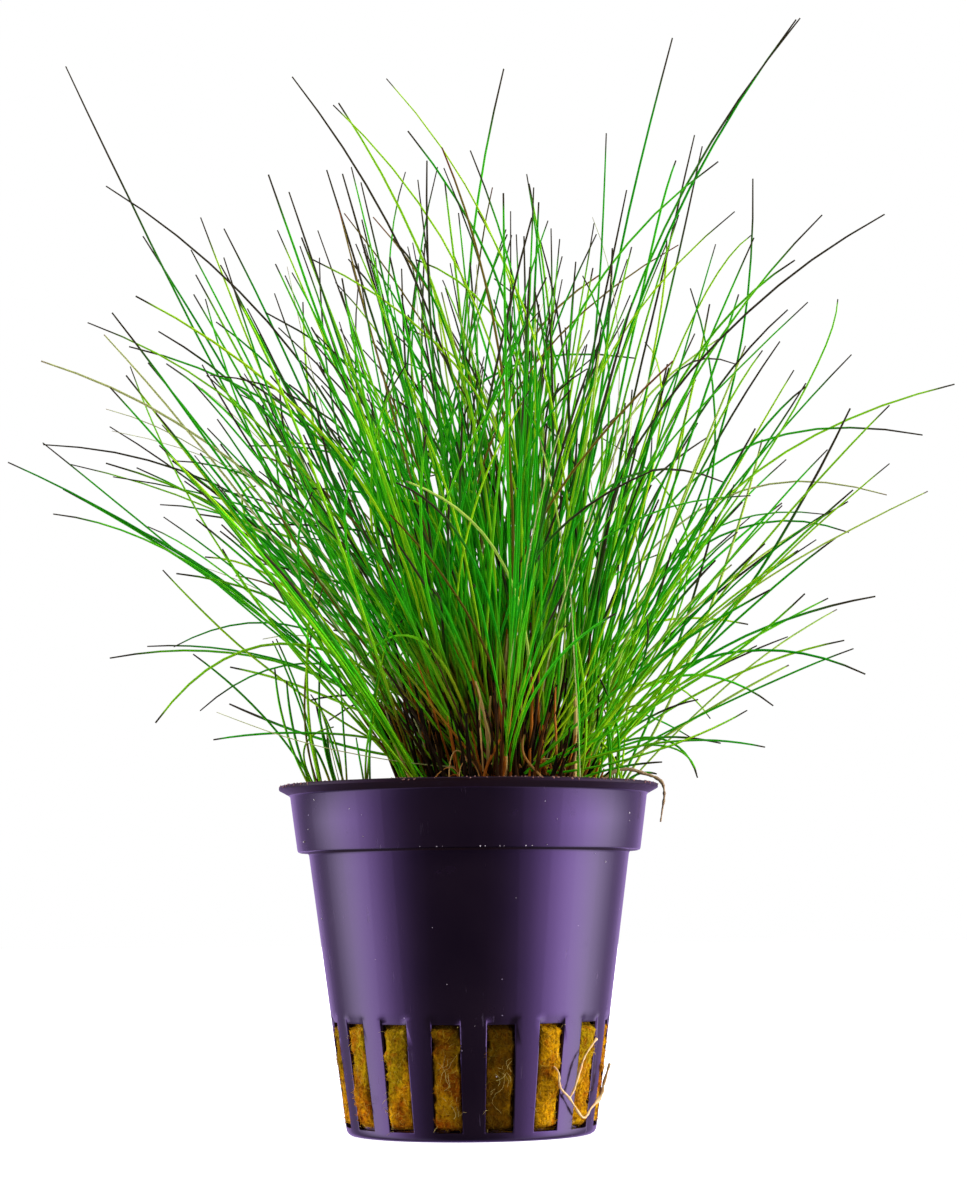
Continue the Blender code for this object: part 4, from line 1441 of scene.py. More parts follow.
@dataclass
class Grass:
    """The tufts and shoots: each settled sheaf with its own blades and up to 33 finer companions."""

    strands: Strands
    settling: Settling = Settling()
    width: float = 0.172 * MM
    width_stray: float = 0.035 * MM
    stout_above: float = 160.0 * MM
    stout_width: float = 0.4 * MM
    pale_width: float = 0.45
    foot_width: float = 0.18 * MM
    companion_foot: float = 0.9
    root_spread: float = 3.0 * MM
    root_depth: float = 1.2 * MM
    companions: int = 33
    companion_tries: int = 12
    between: Pair = (-0.2, 1.2)
    foot_drop: float = 0.4
    shoot_companions: int = 2
    shoot_spread: float = 0.35
    arch_base: float = 0.75
    undergrowth: int = 11
    undergrowth_lean: float = 22.0
    undergrowth_size: Pair = (0.28, 0.62)
    undergrowth_aside: Pair = (0.4, 1.5)
    undergrowth_stray: float = 0.14
    undergrowth_drop: float = 0.5 * MM
    undergrowth_tones: Pair = (0.0, 0.5)
    undergrowth_width: float = 0.21 * MM
    undergrowth_base: float = 0.8
    leanest: float = 51.0
    least_fullness: float = 0.05
    right_from: float = 18.0 * MM
    right_fullness: float = 0.36
    right_foot: float = 8.0 * MM
    # Painted light: the extra share of lime companions at the right, for side light shining through them.
    right_lit_lime: float = 0.55
    wilted_share: float = 0.3
    left_foot: float = -2.5 * MM
    # Painted light: the extra share of lime companions at the left, for the highlight on their lit side.
    left_lit_lime: float = 0.18
    upright_reach: float = 93.0 * MM
    shorter_per_degree: float = 0.33 * MM
    nearest_reach: float = 0.64
    least_size: float = 0.42
    usual_size: float = 0.92
    tip_stray: float = 0.09
    crossing_share: float = 0.5
    crossing_stray: float = 0.31
    bend_stray: float = 0.085
    arches: Pair = (-0.04, 0.24)
    green_least: float = 0.24
    green_lean: float = 75.0
    right_greener: float = 0.45
    right_tones: Pair = (0.7, 0.98)
    green_tones: Pair = (0.56, 0.84)
    dark_tones: Pair = (0.0, 0.5)
    rim_inside: float = 15.4 * MM
    rim_clear: float = 50.0 * MM
    checks: int = 8
    nod_from: float = 0.8
    husks: int = 11
    right_husks: float = 0.35
    husk_height: Pair = (7.0 * MM, 22.0 * MM)
    husk_width: Pair = (0.2 * MM, 0.36 * MM)
    husk_tip: float = 0.6
    husk_ring: Pair = (0.3, 1.0)
    husk_drop: float = 1.0 * MM
    husk_lean: Pair = (-0.05, 0.18)
    husk_tip_stray: float = 0.06
    husk_bend_stray: float = 0.05
    husk_tones: Row = (0.0, 0.0, 0.1, 0.2, 0.45)
    seed: int = 4021

    def build(self) -> None:
        """Builds every tuft and shoot and puts it in place of its solid."""
        leaf = GrassBlade().material()
        low_sheath = {"sheath_low": 0.5 * MM, "sheath_high": 7.0 * MM}
        young = GrassBlade("young_leaf", green=(0.05, 0.32, 0.006), **low_sheath).material()
        tufts, shoots = self.settling.all_sheaves()
        for i, sheaf in enumerate(tufts):
            rng = Chance(self.seed + i)
            blades = self.sheaf_blades(sheaf, round(self.companions * self.fullness(sheaf)), rng)
            blades += self.old_husks(sheaf, rng) + self.low_growth(sheaf, rng)
            self.add_piece(f"tuft_{i + 1:02d}", "leaf", self.strands.mesh(blades, leaf))
        for i, sheaf in enumerate(shoots):
            rng = Chance(self.seed + len(tufts) + i)
            blades = self.sheaf_blades(sheaf, self.shoot_companions, rng, self.shoot_spread)
            if sheaf is shoots[-1]:
                blades += self.low_arches(rng)
            mesh = self.strands.mesh(blades, young, Sheath_Height=4.0 * MM)
            self.add_piece(f"shoot_{i + 1:02d}", "young_leaf", mesh)

    def add_piece(self, node: str, slot: str, mesh: Mesh) -> None:
        """Puts a sheaf's mesh in place of its solid."""
        finished(joined(node + "_blades", [mesh]), slot, node)

    def low_arches(self, rng: Chance) -> list[Blade]:
        """Draws the low blades over the right rim.

        Args:
            rng: The source of chance.

        Returns:
            The blades.
        """
        blades = []
        for *points, depth in LOW_ARCHES:
            finish = (self.foot_width, self.width, BladeKind.DARK_TIPPED.look(rng), self.arch_base)
            blades.append(Blade(*seen_places(points, depth), *finish))
        return blades

    def low_growth(self, sheaf: Sheaf, rng: Chance) -> list[Blade]:
        """Draws short deep green blades that close the gaps low down in an upright sheaf.

        Args:
            sheaf: The settled sheaf.
            rng: The source of chance.

        Returns:
            The blades.
        """
        if self.lean(sheaf) > self.undergrowth_lean:
            return []
        blades = []
        for _ in range(self.undergrowth):
            out = rng.way_out() * (self.root_spread * rng.uniform(*self.undergrowth_aside))
            root = sheaf.foot + out - UP * self.undergrowth_drop
            reach = (rng.choice(sheaf.blades)[1] - sheaf.foot) * rng.uniform(*self.undergrowth_size)
            tip = root + reach + rng.offset(self.undergrowth_stray * reach.length)
            bend = root.lerp(tip, 0.5) + rng.offset(self.bend_stray * reach.length)
            look = (rng.uniform(*self.undergrowth_tones), rng.uniform(*self.undergrowth_tones), 0.0)
            finish = (self.undergrowth_width, look, self.undergrowth_base * self.base_tone(sheaf, rng))
            blades.append(Blade.bent(root, bend, tip, self.foot_width, *finish))
        return [blade for blade in blades if self.stands_well(blade)]

    def lean(self, sheaf: Sheaf) -> float:
        """How far a sheaf leans over, in degrees."""
        reach = sum((tip - sheaf.foot for _, tip in sheaf.blades), Vector())
        return math.degrees(reach.angle(UP))

    def fullness(self, sheaf: Sheaf) -> float:
        """How many companions a sheaf gets: fewer the further it leans, and to the right.

        Args:
            sheaf: The settled sheaf.

        Returns:
            A share of the full number.
        """
        share = max(1.0 - self.lean(sheaf) / self.leanest, self.least_fullness)
        middle = sum(tip.x for _, tip in sheaf.blades) / len(sheaf.blades)
        return share * (self.right_fullness if middle > self.right_from else 1.0)

    def base_tone(self, sheaf: Sheaf, rng: Chance) -> float:
        """How green a blade's base is: mostly dark in the middle of the crown, green at its edge.

        Args:
            sheaf: The settled sheaf.
            rng: The source of chance.

        Returns:
            The greenness, from 0 to 1.
        """
        right = sheaf.foot.x > self.right_foot
        green_share = self.green_least + self.lean(sheaf) / self.green_lean + self.right_greener * right
        if rng.random() < green_share:
            return rng.uniform(*(self.right_tones if right else self.green_tones))
        return rng.uniform(*self.dark_tones)

    def sheaf_blades(self, sheaf: Sheaf, companions: int, rng: Chance, spread: float = 1.0) -> list[Blade]:
        """The blades of a sheaf's solid and their companions.

        Args:
            sheaf: The settled sheaf.
            companions: How many finer blades join it.
            rng: The source of chance.
            spread: How wide the companions stand, as a share.

        Returns:
            The blades.
        """
        blades = []
        for (bend, tip), path in zip(sheaf.blades, sheaf.paths):
            usual = BladeKind.pick(rng, BladeKind.DARK_TIPPED, BladeKind.GREEN, BladeKind.LIME)
            kind, width = BladeKind.near(tip, usual), self.blade_width(rng)
            if tip.z > self.stout_above:
                kind, width = BladeKind.GREEN, self.stout_width
            root = path[0] - sheaf.axis * self.root_depth
            finish = (self.foot_width, width, kind.look(rng), self.base_tone(sheaf, rng))
            blades.append(Blade.bent(root, bend, tip, *finish))
        return blades + [self.companion(sheaf, rng, spread) for _ in range(companions)]

    def blade_width(self, rng: Chance) -> float:
        """A blade's radius."""
        return self.width + rng.stray(self.width_stray)

    def companion(self, sheaf: Sheaf, rng: Chance, spread: float) -> Blade:
        """A blade that follows its sheaf loosely, drawn again until it stands well.

        Args:
            sheaf: The settled sheaf.
            rng: The source of chance.
            spread: How wide it may stand, as a share.

        Returns:
            The blade.
        """
        for _ in range(self.companion_tries):
            first = rng.randrange(len(sheaf.blades))
            pair = (sheaf.blades[first], sheaf.blades[min(first + 1, len(sheaf.blades) - 1)])
            share = rng.uniform(*self.between)
            bend, tip = (one.lerp(other, share) for one, other in zip(*pair))
            size = rng.triangular(self.least_size, 1.0, self.usual_size)
            out = rng.way_out() - self.foot_drop * UP
            root = sheaf.foot + out * (self.root_spread * spread * math.sqrt(rng.random()))
            length = (tip - sheaf.foot).length * size
            stray = self.crossing_stray if rng.random() < self.crossing_share else self.tip_stray
            reach = (tip - sheaf.foot) * size + rng.offset(stray * length)
            tip = self.within_reach(root, reach, rng)
            bend = root + (bend - sheaf.foot) * size + rng.offset(self.bend_stray * length)
            bend += UP * rng.uniform(*self.arches) * math.hypot(tip.x - root.x, tip.y - root.y)
            kind = self.companion_kind(root, rng)
            width = self.blade_width(rng) * (self.pale_width if kind is BladeKind.PALE else 1.0)
            finish = (width, kind.look(rng), self.base_tone(sheaf, rng))
            blade = Blade.bent(root, bend, tip, self.foot_width * self.companion_foot, *finish)
            if self.stands_well(blade):
                break
        return blade

    def companion_kind(self, root: Vector, rng: Chance) -> BladeKind:
        """The kind of a companion, more often lime at both sides as painted light from the side lamps, and
        wilted at the right.

        Args:
            root: Where it stands.
            rng: The source of chance.

        Returns:
            The kind.
        """
        kind = BladeKind.pick(rng)
        right = root.x > self.right_foot
        # Painted light: lime stands for side light shining through the blades at the right, and for the
        # highlight on their lit side at the left.
        lime = self.left_lit_lime if root.x < self.left_foot else self.right_lit_lime * right
        if rng.random() < lime:
            kind = BladeKind.LIME
        if kind is BladeKind.LIME and rng.random() < self.wilted_share and right:
            kind = BladeKind.WILTED
        return kind

    def within_reach(self, root: Vector, reach: Vector, rng: Chance) -> Vector:
        """The tip of a companion, drawn in where only a sheaf's own blades go that far.

        Args:
            root: Where it stands.
            reach: The way to its tip.
            rng: The source of chance.

        Returns:
            The tip.
        """
        longest = self.upright_reach - self.shorter_per_degree * math.degrees(reach.angle(UP))
        if reach.length > longest:
            reach = reach * (rng.uniform(self.nearest_reach, 1.0) * longest / reach.length)
        return root + reach

    def stands_well(self, blade: Blade) -> bool:
        """Whether a blade passes over the rim, stays in the part's box and nods neither forwards nor back.

        Args:
            blade: The blade.

        Returns:
            True if it does.
        """
        away = blade.tip - blade.root
        if blade.tip.z < blade.at(self.nod_from).z and (away.y < 0.0 or away.y > abs(away.x)):
            return False
        low, high = CAD_BOX
        for i in range(2, self.checks + 1):
            point = blade.at(i / self.checks)
            if any(not low[k] < point[k] < high[k] for k in range(3)):
                return False
            if point.z < self.rim_clear and math.hypot(point.x, point.y) > self.rim_inside:
                return False
        return True

    def old_husks(self, sheaf: Sheaf, rng: Chance) -> list[Blade]:
        """Draws short dry sheaths round the foot of a sheaf.

        Args:
            sheaf: The settled sheaf.
            rng: The source of chance.

        Returns:
            The sheaths.
        """
        husks = []
        share = self.right_husks if sheaf.foot.x > self.right_foot else 1.0
        for _ in range(round(self.husks * share * self.fullness(sheaf))):
            out = rng.way_out()
            aside = out * rng.uniform(*self.husk_ring) * self.root_spread
            root = sheaf.foot + aside - UP * self.husk_drop
            heading = (sheaf.axis + out * rng.uniform(*self.husk_lean)).normalized()
            size = rng.uniform(*self.husk_height)
            tip = root + heading * size + rng.offset(self.husk_tip_stray * size)
            bend = root.lerp(tip, 0.5) + rng.offset(self.husk_bend_stray * size)
            look = (rng.choice(self.husk_tones), 0.0, 1.0)
            foot = rng.uniform(*self.husk_width)
            husks.append(Blade.bent(root, bend, tip, foot, self.husk_tip * foot, look))
        return husks


# Pot


@dataclass
class NetPot:
    """The slotted net pot, with its walls, slots, floor vents, collar and flared lip."""

    height: float = 49.0 * MM
    rim_radius: float = 27.0 * MM
    lip: float = 0.6 * MM
    flare_foot: float = 47.6 * MM
    collar_top: float = 25.4 * MM
    collar_bottom: float = 24.4 * MM
    collar_foot: float = 39.6 * MM
    body_top: float = 22.8 * MM
    base_radius: float = 17.5 * MM
    base_round: float = 1.0 * MM
    hub: float = 3.0 * MM
    wall: float = 0.8 * MM
    floor: float = 1.0 * MM
    slots: int = 16
    first_slot: float = math.radians(-9.8)
    slot_half: float = 1.95 * MM
    slot_foot: float = 1.3 * MM
    slot_top: float = 15.8 * MM
    slot_rows: int = 6
    relief_top: float = 17.0 * MM
    relief_depth: float = 0.26 * MM
    relief_edge: float = 0.18 * MM
    vent_half: float = 1.2 * MM
    vent_start: float = 6.5 * MM
    vent_end: float = 14.0 * MM
    places: int = 10
    slot_places: int = 5
    fillet: float = 0.25 * MM
    bevel: float = 0.1 * MM
    bevel_from: float = math.radians(50.0)
    sharp_from: float = math.radians(38.0)
    sight_step: float = 0.02 * MM

    def body_radius(self, height: float) -> float:
        """The outer radius of the body at a height."""
        return self.base_radius + (self.body_top - self.base_radius) * height / self.collar_foot

    def wall_point(self, x: float, z: float) -> Vector:
        """Follows the sight line to the outer wall.

        Args:
            x: Where the point looks to be in the plane y = 0.
            z: The height that it looks to have there.

        Returns:
            The point of the wall.
        """
        depth = -self.rim_radius
        while depth < 0.0:
            point = seen_point(x, z, depth)
            radius = self.body_radius(point.z)
            if point.z > self.collar_foot:
                share = (point.z - self.collar_foot) / (self.flare_foot - self.collar_foot)
                radius = self.collar_bottom + (self.collar_top - self.collar_bottom) * share
            if math.hypot(point.x, point.y) < radius:
                break
            depth += self.sight_step
        return point

    def column_angle(self, column: int, radius: float, half: float) -> float:
        """The angle of a column of vertices, so that slots keep parallel sides.

        Args:
            column: The column's number round the pot.
            radius: The ring's radius.
            half: Half the width of the slot at that ring.

        Returns:
            The angle from -Y towards +X, in radians.
        """
        sector, place = divmod(column, self.places)
        width = math.tau / self.slots
        centre = self.first_slot + sector * width
        edge = min(math.asin(min(half / radius, 0.9)), 0.4 * width)
        if place < self.slot_places:
            return centre + edge * (2 * place / (self.slot_places - 1) - 1)
        step = min(self.relief_edge / radius, 0.05 * width)
        start, end = centre + edge + step, centre + width - edge - step
        return start + (end - start) * (place - self.slot_places) / (self.places - self.slot_places - 1)

    def rings(self) -> list[tuple[float, float, float, str]]:
        """The rings of the closed wall, from the middle of the base up, and down again inside.

        Returns:
            Radius, height, half width of the slot, and zone name of each.
        """
        body, half, thin, fillet = self.body_radius, self.slot_half, self.wall, self.fillet
        rim, top, edge = self.rim_radius, self.height, self.height - self.lip
        foot, ledge, flare = body(self.base_round), self.collar_foot, self.flare_foot
        low, high = self.collar_bottom, self.collar_top
        bends = [math.pi / 2 * i / 4 for i in range(5)]
        bends = [(1.0 - math.sin(turn), 1.0 - math.cos(turn)) for turn in bends]
        vents = [self.vent_start + (self.vent_end - self.vent_start) * i / 2 for i in range(3)]
        run, rise = self.slot_rows - 1, self.slot_top - self.slot_foot
        slots = [self.slot_foot + rise * i / run for i in range(self.slot_rows)]
        reliefs = (self.slot_top + 0.4 * MM, self.slot_top + 0.8 * MM, self.relief_top)
        shares = (0.02, 0.08, 0.3, 0.6, 0.9, 0.975)
        walls = [self.relief_top + (ledge - self.relief_top) * share for share in shares]
        zones = (
            ("base", 0.5 * self.vent_half, [(self.hub, 0.0)]),
            ("vent", self.vent_half, [(radius, 0.0) for radius in vents]),
            ("base", 0.85 * half, [(foot - 1.8 * self.base_round, 0.0)]),
            ("base", half, [(foot - self.base_round * x, self.base_round * z) for x, z in bends]),
            ("slot", half, [(body(z), z) for z in slots]),
            ("relief", half, [(body(z), z) for z in reliefs]),
            ("wall", half, [(body(z), z) for z in walls]),
            # Zones for the dark, dull finish: painted shade in the crease under the collar step and on the
            # flange's underside, and dirt on the lip's edge and top.
            ("dirt_and_shade", half, [(self.body_top, ledge - fillet), (self.body_top + fillet, ledge)]),
            ("dirt_and_shade", half, [(low - 0.35 * MM, ledge)]),
            ("wall", half, [(low - 0.1 * MM, ledge + 0.1 * MM), (low, ledge + 0.35 * MM)]),
            ("wall", half, [(high - 0.5 * MM, flare - 4.0 * MM), (high, flare - 0.15 * MM)]),
            ("dirt_and_shade", half, [(high + 0.2 * MM, flare + 0.1 * MM), (rim - 0.1 * MM, edge)]),
            ("dirt_and_shade", half, [(rim, edge + 0.12 * MM), (rim, top - 0.15 * MM), (rim - 0.15 * MM, top)]),
            ("dirt_and_shade", half, [(high - thin + 0.3 * MM, top)]),
            ("wall", half, [(high - thin, top - 0.3 * MM), (low - thin, ledge + thin)]),
            ("wall", half, [(self.body_top - thin, ledge + thin)]),
            ("wall", half, [(body(self.relief_top) - thin, self.relief_top)]),
            ("inner_slot", half, [(body(z) - thin, z) for z in reversed(slots)]),
            ("floor", half, [(body(self.slot_foot) - thin - 0.3 * MM, self.floor)]),
            ("inner_vent", self.vent_half, [(radius, self.floor) for radius in reversed(vents)]),
            ("floor", 0.5 * self.vent_half, [(self.hub, self.floor)]),
        )
        return [(*place, width, zone) for zone, width, places in zones for place in places]

    def mesh(self) -> Mesh:
        """Builds the closed wall with its slots and vents.

        Returns:
            The mesh. Its faces under the collar step, under the flange and on the lip have the second
            material, with painted shade and dirt.
        """
        rings = self.rings()
        zones = [ring[3] for ring in rings]
        columns = range(self.slots * self.places)
        shell = bmesh.new()
        grid = []
        for radius, height, half, zone in rings:
            recess = self.relief_depth * self.relief_share(height) if zone in ("slot", "relief") else 0.0
            ring = []
            for column in columns:
                reach = radius - recess * (column % self.places < self.slot_places)
                place = round_point(reach, self.column_angle(column, radius, half), height)
                ring.append(shell.verts.new(place))
            grid.append(ring)
        bottom, top = (shell.verts.new((0.0, 0.0, height)) for height in (0.0, self.floor))
        pairs = [(column, (column + 1) % len(columns)) for column in columns]
        for lower, upper, zone, next_zone in zip(grid, grid[1:], zones, zones[1:]):
            for column, after in pairs:
                if not self.is_open(zone, next_zone, column):
                    face = shell.faces.new((lower[column], lower[after], upper[after], upper[column]))
                    face.material_index = int(zone == next_zone == "dirt_and_shade")
        for column, after in pairs:
            shell.faces.new((bottom, grid[0][after], grid[0][column]))
            shell.faces.new((top, grid[-1][column], grid[-1][after]))
        self.add_reveals(shell, grid, zones)
        bmesh.ops.recalc_face_normals(shell, faces=shell.faces)
        return closed("net_pot_wall", shell)

    def relief_share(self, height: float) -> float:
        """How deep the recess over a slot is at a height: none below the slot's top, deepest there."""
        share = max((self.relief_top - height) / (self.relief_top - self.slot_top), 0.0)
        return share if height > self.slot_top - 0.1 * MM else 0.0

    def is_open(self, zone: str, after: str, column: int) -> bool:
        """Whether the wall between two rings is cut away at a column.

        Args:
            zone: The lower ring's zone.
            after: The upper ring's zone.
            column: The column.

        Returns:
            True if it is.
        """
        sector, place = divmod(column, self.places)
        if place >= self.slot_places - 1 or zone != after:
            return False
        return zone in ("slot", "inner_slot") or (zone in ("vent", "inner_vent") and sector % 2 == 0)

    def add_reveals(self, shell: bmesh.types.BMesh, grid: list, zones: list[str]) -> None:
        """Closes the sides of every slot and vent between the outer and the inner wall.

        Args:
            shell: The wall so far.
            grid: Its rings of vertices.
            zones: The zone name of each ring.
        """
        for zone, stride in (("slot", 1), ("vent", 2)):
            outer = [ring for ring, name in zip(grid, zones) if name == zone]
            inner = [ring for ring, name in zip(grid, zones) if name == "inner_" + zone][::-1]
            for first in range(0, self.slots * self.places, stride * self.places):
                last = first + self.slot_places - 1
                for column in (first, last):
                    for around in zip(outer, outer[1:], inner[1:], inner):
                        shell.faces.new([ring[column] for ring in around])
                for out, back in ((outer[0], inner[0]), (outer[-1], inner[-1])):
                    for i in range(first, last):
                        shell.faces.new((out[i], out[i + 1], back[i + 1], back[i]))

    def build(self) -> None:
        """Builds the pot, its edges rounded, and puts it in place of its solid."""
        piece = joined("net_pot_shell", [self.mesh()])
        # The second finish is dark and dull: dirt on the lip, and painted shade under the collar step and the
        # flange.
        for finish in (PotPlastic(), PotPlastic("pot_grime", gloss=0.14, grime_and_shade_amount=1.0)):
            piece.data.materials.append(finish.material())
        rounding = piece.modifiers.new("Rounding", "BEVEL")
        rounding.width = self.bevel
        rounding.segments = 2
        rounding.limit_method = "ANGLE"
        rounding.angle_limit = self.bevel_from
        rounded = plain_mesh(piece)
        piece.modifiers.clear()
        piece.data = rounded
        rounded.shade_smooth()
        rounded.set_sharp_from_angle(angle=self.sharp_from)
        finished(piece, "pot_plastic", "net_pot")


# Grains of dust on the wall: x and z as seen, then radius, in millimetres
POT_GRAINS = [
    (-22.0, 47.2, 0.13), (-22.9, 43.0, 0.08), (-23.5, 41.2, 0.17), (-15.1, 41.9, 0.08), (-15.3, 45.0, 0.05),
    (12.6, 44.1, 0.07), (10.9, 46.7, 0.07), (22.9, 44.9, 0.13), (22.9, 43.8, 0.07), (19.4, 38.0, 0.11),
    (17.9, 39.2, 0.06), (-21.0, 30.3, 0.10), (-3.3, 20.9, 0.07), (-5.3, 28.9, 0.05), (1.6, 40.4, 0.10),
    (2.3, 40.4, 0.07), (4.4, 40.4, 0.08), (5.0, 40.4, 0.06), (8.1, 40.4, 0.10), (9.0, 40.4, 0.08),
    (11.1, 40.5, 0.07), (-7.0, 40.4, 0.05), (-4.6, 40.4, 0.06), (-3.8, 40.4, 0.04), (-17.0, 45.9, 0.09),
    (3.6, 7.9, 0.10), (0.6, 15.0, 0.05), (6.6, 33.0, 0.05), (-13.4, 24.5, 0.06), (15.4, 29.0, 0.05),
]


# Wool and crown


def smooth_step(low: float, high: float, value: np.ndarray) -> np.ndarray:
    """Rises smoothly from 0 at low to 1 at high."""
    share = np.clip((value - low) / (high - low), 0.0, 1.0)
    return share * share * (3.0 - 2.0 * share)


def bell(away: np.ndarray) -> np.ndarray:
    """A bell curve, 1 in its middle."""
    return np.exp(-0.5 * away**2)


def turn_of(points: np.ndarray) -> np.ndarray:
    """Each point's turn round the pot's axis, from -Y towards +X."""
    return np.arctan2(points[:, 0], -points[:, 1])


class Ripples:
    """A smooth random height made of many sine waves, the same each run."""

    def __init__(self, seed: int, waves: int, longest: float, shortest: float) -> None:
        """Draws the waves.

        Args:
            seed: The seed.
            waves: How many there are.
            longest: The longest wavelength, in millimetres.
            shortest: The shortest wavelength, in millimetres.
        """
        rng = np.random.default_rng(seed)
        lengths = np.geomspace(longest * MM, shortest * MM, waves)
        heading = rng.normal(size=(waves, 3))
        heading /= np.linalg.norm(heading, axis=1)[:, None]
        self.pull = heading * (math.tau / lengths)[:, None]
        self.phase = rng.uniform(0.0, math.tau, waves)
        self.weight = (lengths / lengths[0]) ** 0.6
        self.weight /= np.sqrt((self.weight**2).sum() / 2)

    def at(self, points: np.ndarray) -> np.ndarray:
        """The height at each point, mostly between -2 and 2."""
        return (np.sin(points @ self.pull.T + self.phase) * self.weight).sum(axis=1)


@dataclass
class WoolPlug:
    """The felted plug: a lumpy surface that swells into the slots, with loose fibres on it."""

    pot: NetPot
    strands: Strands
    gap: float = 0.5 * MM
    top: float = 47.2 * MM
    shoulder: float = 45.6 * MM
    shoulder_round: float = 0.6 * MM
    flat_radius: float = 16.0 * MM
    columns: int = 352
    slot_row: float = 0.3 * MM
    slot_edge: Pair = (0.86, 0.99)
    edge_wander: float = 0.16 * MM
    swell: float = 1.22 * MM
    lump: float = 0.09 * MM
    wall_lump: float = 0.35
    slot_lump: float = 0.14 * MM
    top_lumps: Pair = (0.22 * MM, 0.14 * MM)
    slot_hair: float = 1.6
    top_hair: float = 0.1
    density: float = 7.0e6
    fibre_length: float = 1.0 * MM
    fibre_radius: float = 0.028 * MM
    crumb_density: float = 0.35e6
    crumb: float = 0.32 * MM
    threaded_slots: tuple[int, ...] = (0, 1)
    threads: int = 7
    hairy_slot: int = 15
    thread_spread: float = 0.8
    thread_climb: Pair = (0.4 * MM, 1.5 * MM)
    thread_width: Pair = (0.014 * MM, 0.03 * MM)
    hairs: tuple[int, int] = (3, 13)
    hair_stray: float = 1.0 * MM
    hair_rise: Pair = (-1.0 * MM, 0.5 * MM)
    hair_reach: Pair = (0.2 * MM, 0.9 * MM)
    hair_width: Pair = (0.022 * MM, 0.018 * MM)
    bulge: float = 0.5 * MM
    bulge_at: float = math.radians(-55.5)
    bulge_width: float = math.radians(5.0)
    bulge_height: float = 5.0 * MM
    bulge_reach: float = 2.4 * MM
    # Painted shade over the wool's front, which faces away from the side lights: its middle turn, its width
    # and its random wander.
    damp_at: float = math.radians(9.0)
    damp_width: float = math.radians(19.0)
    damp_stray: float = 0.18
    seed: int = 17

    def inside(self, height: float) -> float:
        """The plug's radius in the body at a height."""
        return self.pot.body_radius(height) - self.pot.wall - self.gap

    def rings(self) -> list[Pair]:
        """The rings from the underside up to the middle of the top.

        Returns:
            Radius and height of each.
        """
        pot = self.pot
        bottom = pot.floor + self.gap
        low = self.inside(bottom)
        rings = [(low * share, bottom) for share in (0.25, 0.5, 0.75, 0.93)]
        rings.append((low - 0.3 * MM, bottom + 0.1 * MM))
        height = bottom + 0.4 * MM
        while height < pot.slot_top + 1.2 * MM:
            rings.append((self.inside(height), height))
            height += self.slot_row
        ledge = pot.collar_foot + pot.wall + self.gap
        levels = [height + (ledge - 0.2 * MM - height) * share for share in (0.2, 0.5, 0.8, 1.0)]
        rings += [(self.inside(level), level) for level in levels]
        edge = pot.collar_bottom - pot.wall - self.gap
        rings += [(edge - 0.3 * MM, ledge + 0.05 * MM), (edge, ledge + 0.5 * MM)]
        wide, soft = pot.collar_top - pot.wall - 2 * self.gap, self.shoulder_round
        rings += [(wide, self.shoulder - soft), (wide - soft, self.shoulder + soft)]
        slope, climb = wide - soft - self.flat_radius, self.top - self.shoulder - soft
        for share in (0.2, 0.4, 0.6, 0.8, 1.0):
            rings.append((wide - soft - slope * share, self.shoulder + soft + climb * share))
        return rings + [(self.flat_radius * share, self.top) for share in (0.9, 0.8, 0.7, 0.55, 0.4, 0.2)]

    def slot_share(self, points: np.ndarray) -> np.ndarray:
        """How far inside a slot's opening each point lies.

        Args:
            points: The points.

        Returns:
            Shares from 0 to 1.
        """
        pot = self.pot
        sector = math.tau / pot.slots
        offset = (turn_of(points) - pot.first_slot + sector / 2) % sector - sector / 2
        aside = np.abs(offset) * np.hypot(points[:, 0], points[:, 1])
        aside += self.edge_wander * Ripples(15, 12, 7.0, 1.6).at(points)
        across = 1.0 - smooth_step(*self.slot_edge, aside / pot.slot_half)
        height = points[:, 2]
        rise = smooth_step(pot.slot_foot + 0.1 * MM, pot.slot_foot + 1.0 * MM, height)
        fall = 1.0 - smooth_step(pot.slot_top - 1.0 * MM, pot.slot_top - 0.1 * MM, height)
        return across * rise * fall

    def mesh(self) -> Mesh:
        """Builds the closed surface, lumpy and swollen into the slots.

        Returns:
            The mesh, with how hairy and crumbly it is, and how much painted shade its front gets.
        """
        rings = [[round_point(radius, turn, z) for turn in turns(self.columns)] for radius, z in self.rings()]
        mesh = ringed("wool_surface", rings, [(0.0, 0.0, ring[0][2]) for ring in (rings[0], rings[-1])])
        points = vertex_places(mesh)
        radius = np.hypot(points[:, 0], points[:, 1]) + 1e-9
        outward = points * np.array((1.0, 1.0, 0.0)) / radius[:, None]
        in_slot = self.slot_share(points)
        broad, fine = Ripples(5, 12, 9.0, 3.0).at(points), Ripples(6, 24, 2.2, 0.6).at(points)
        turn = turn_of(points)
        lobe = bell((turn - self.bulge_at) / self.bulge_width)
        lobe *= bell((points[:, 2] - self.bulge_height) / self.bulge_reach)
        push = in_slot * (self.swell + self.slot_lump * broad + self.bulge * lobe)
        points += outward * push[:, None]
        in_wall = (points[:, 2] > self.pot.floor + 2 * self.gap) & (points[:, 2] < self.shoulder)
        roughness = self.wall_lump + (1.0 - self.wall_lump) * in_slot
        side = self.lump * (roughness * fine - 1.0)
        points += outward * (side * in_wall)[:, None]
        on_top = smooth_step(self.shoulder, self.shoulder + self.shoulder_round, points[:, 2])
        points[:, 2] += on_top * (self.top_lumps[0] * broad + self.top_lumps[1] * fine)
        mesh.vertices.foreach_set("co", points.ravel())
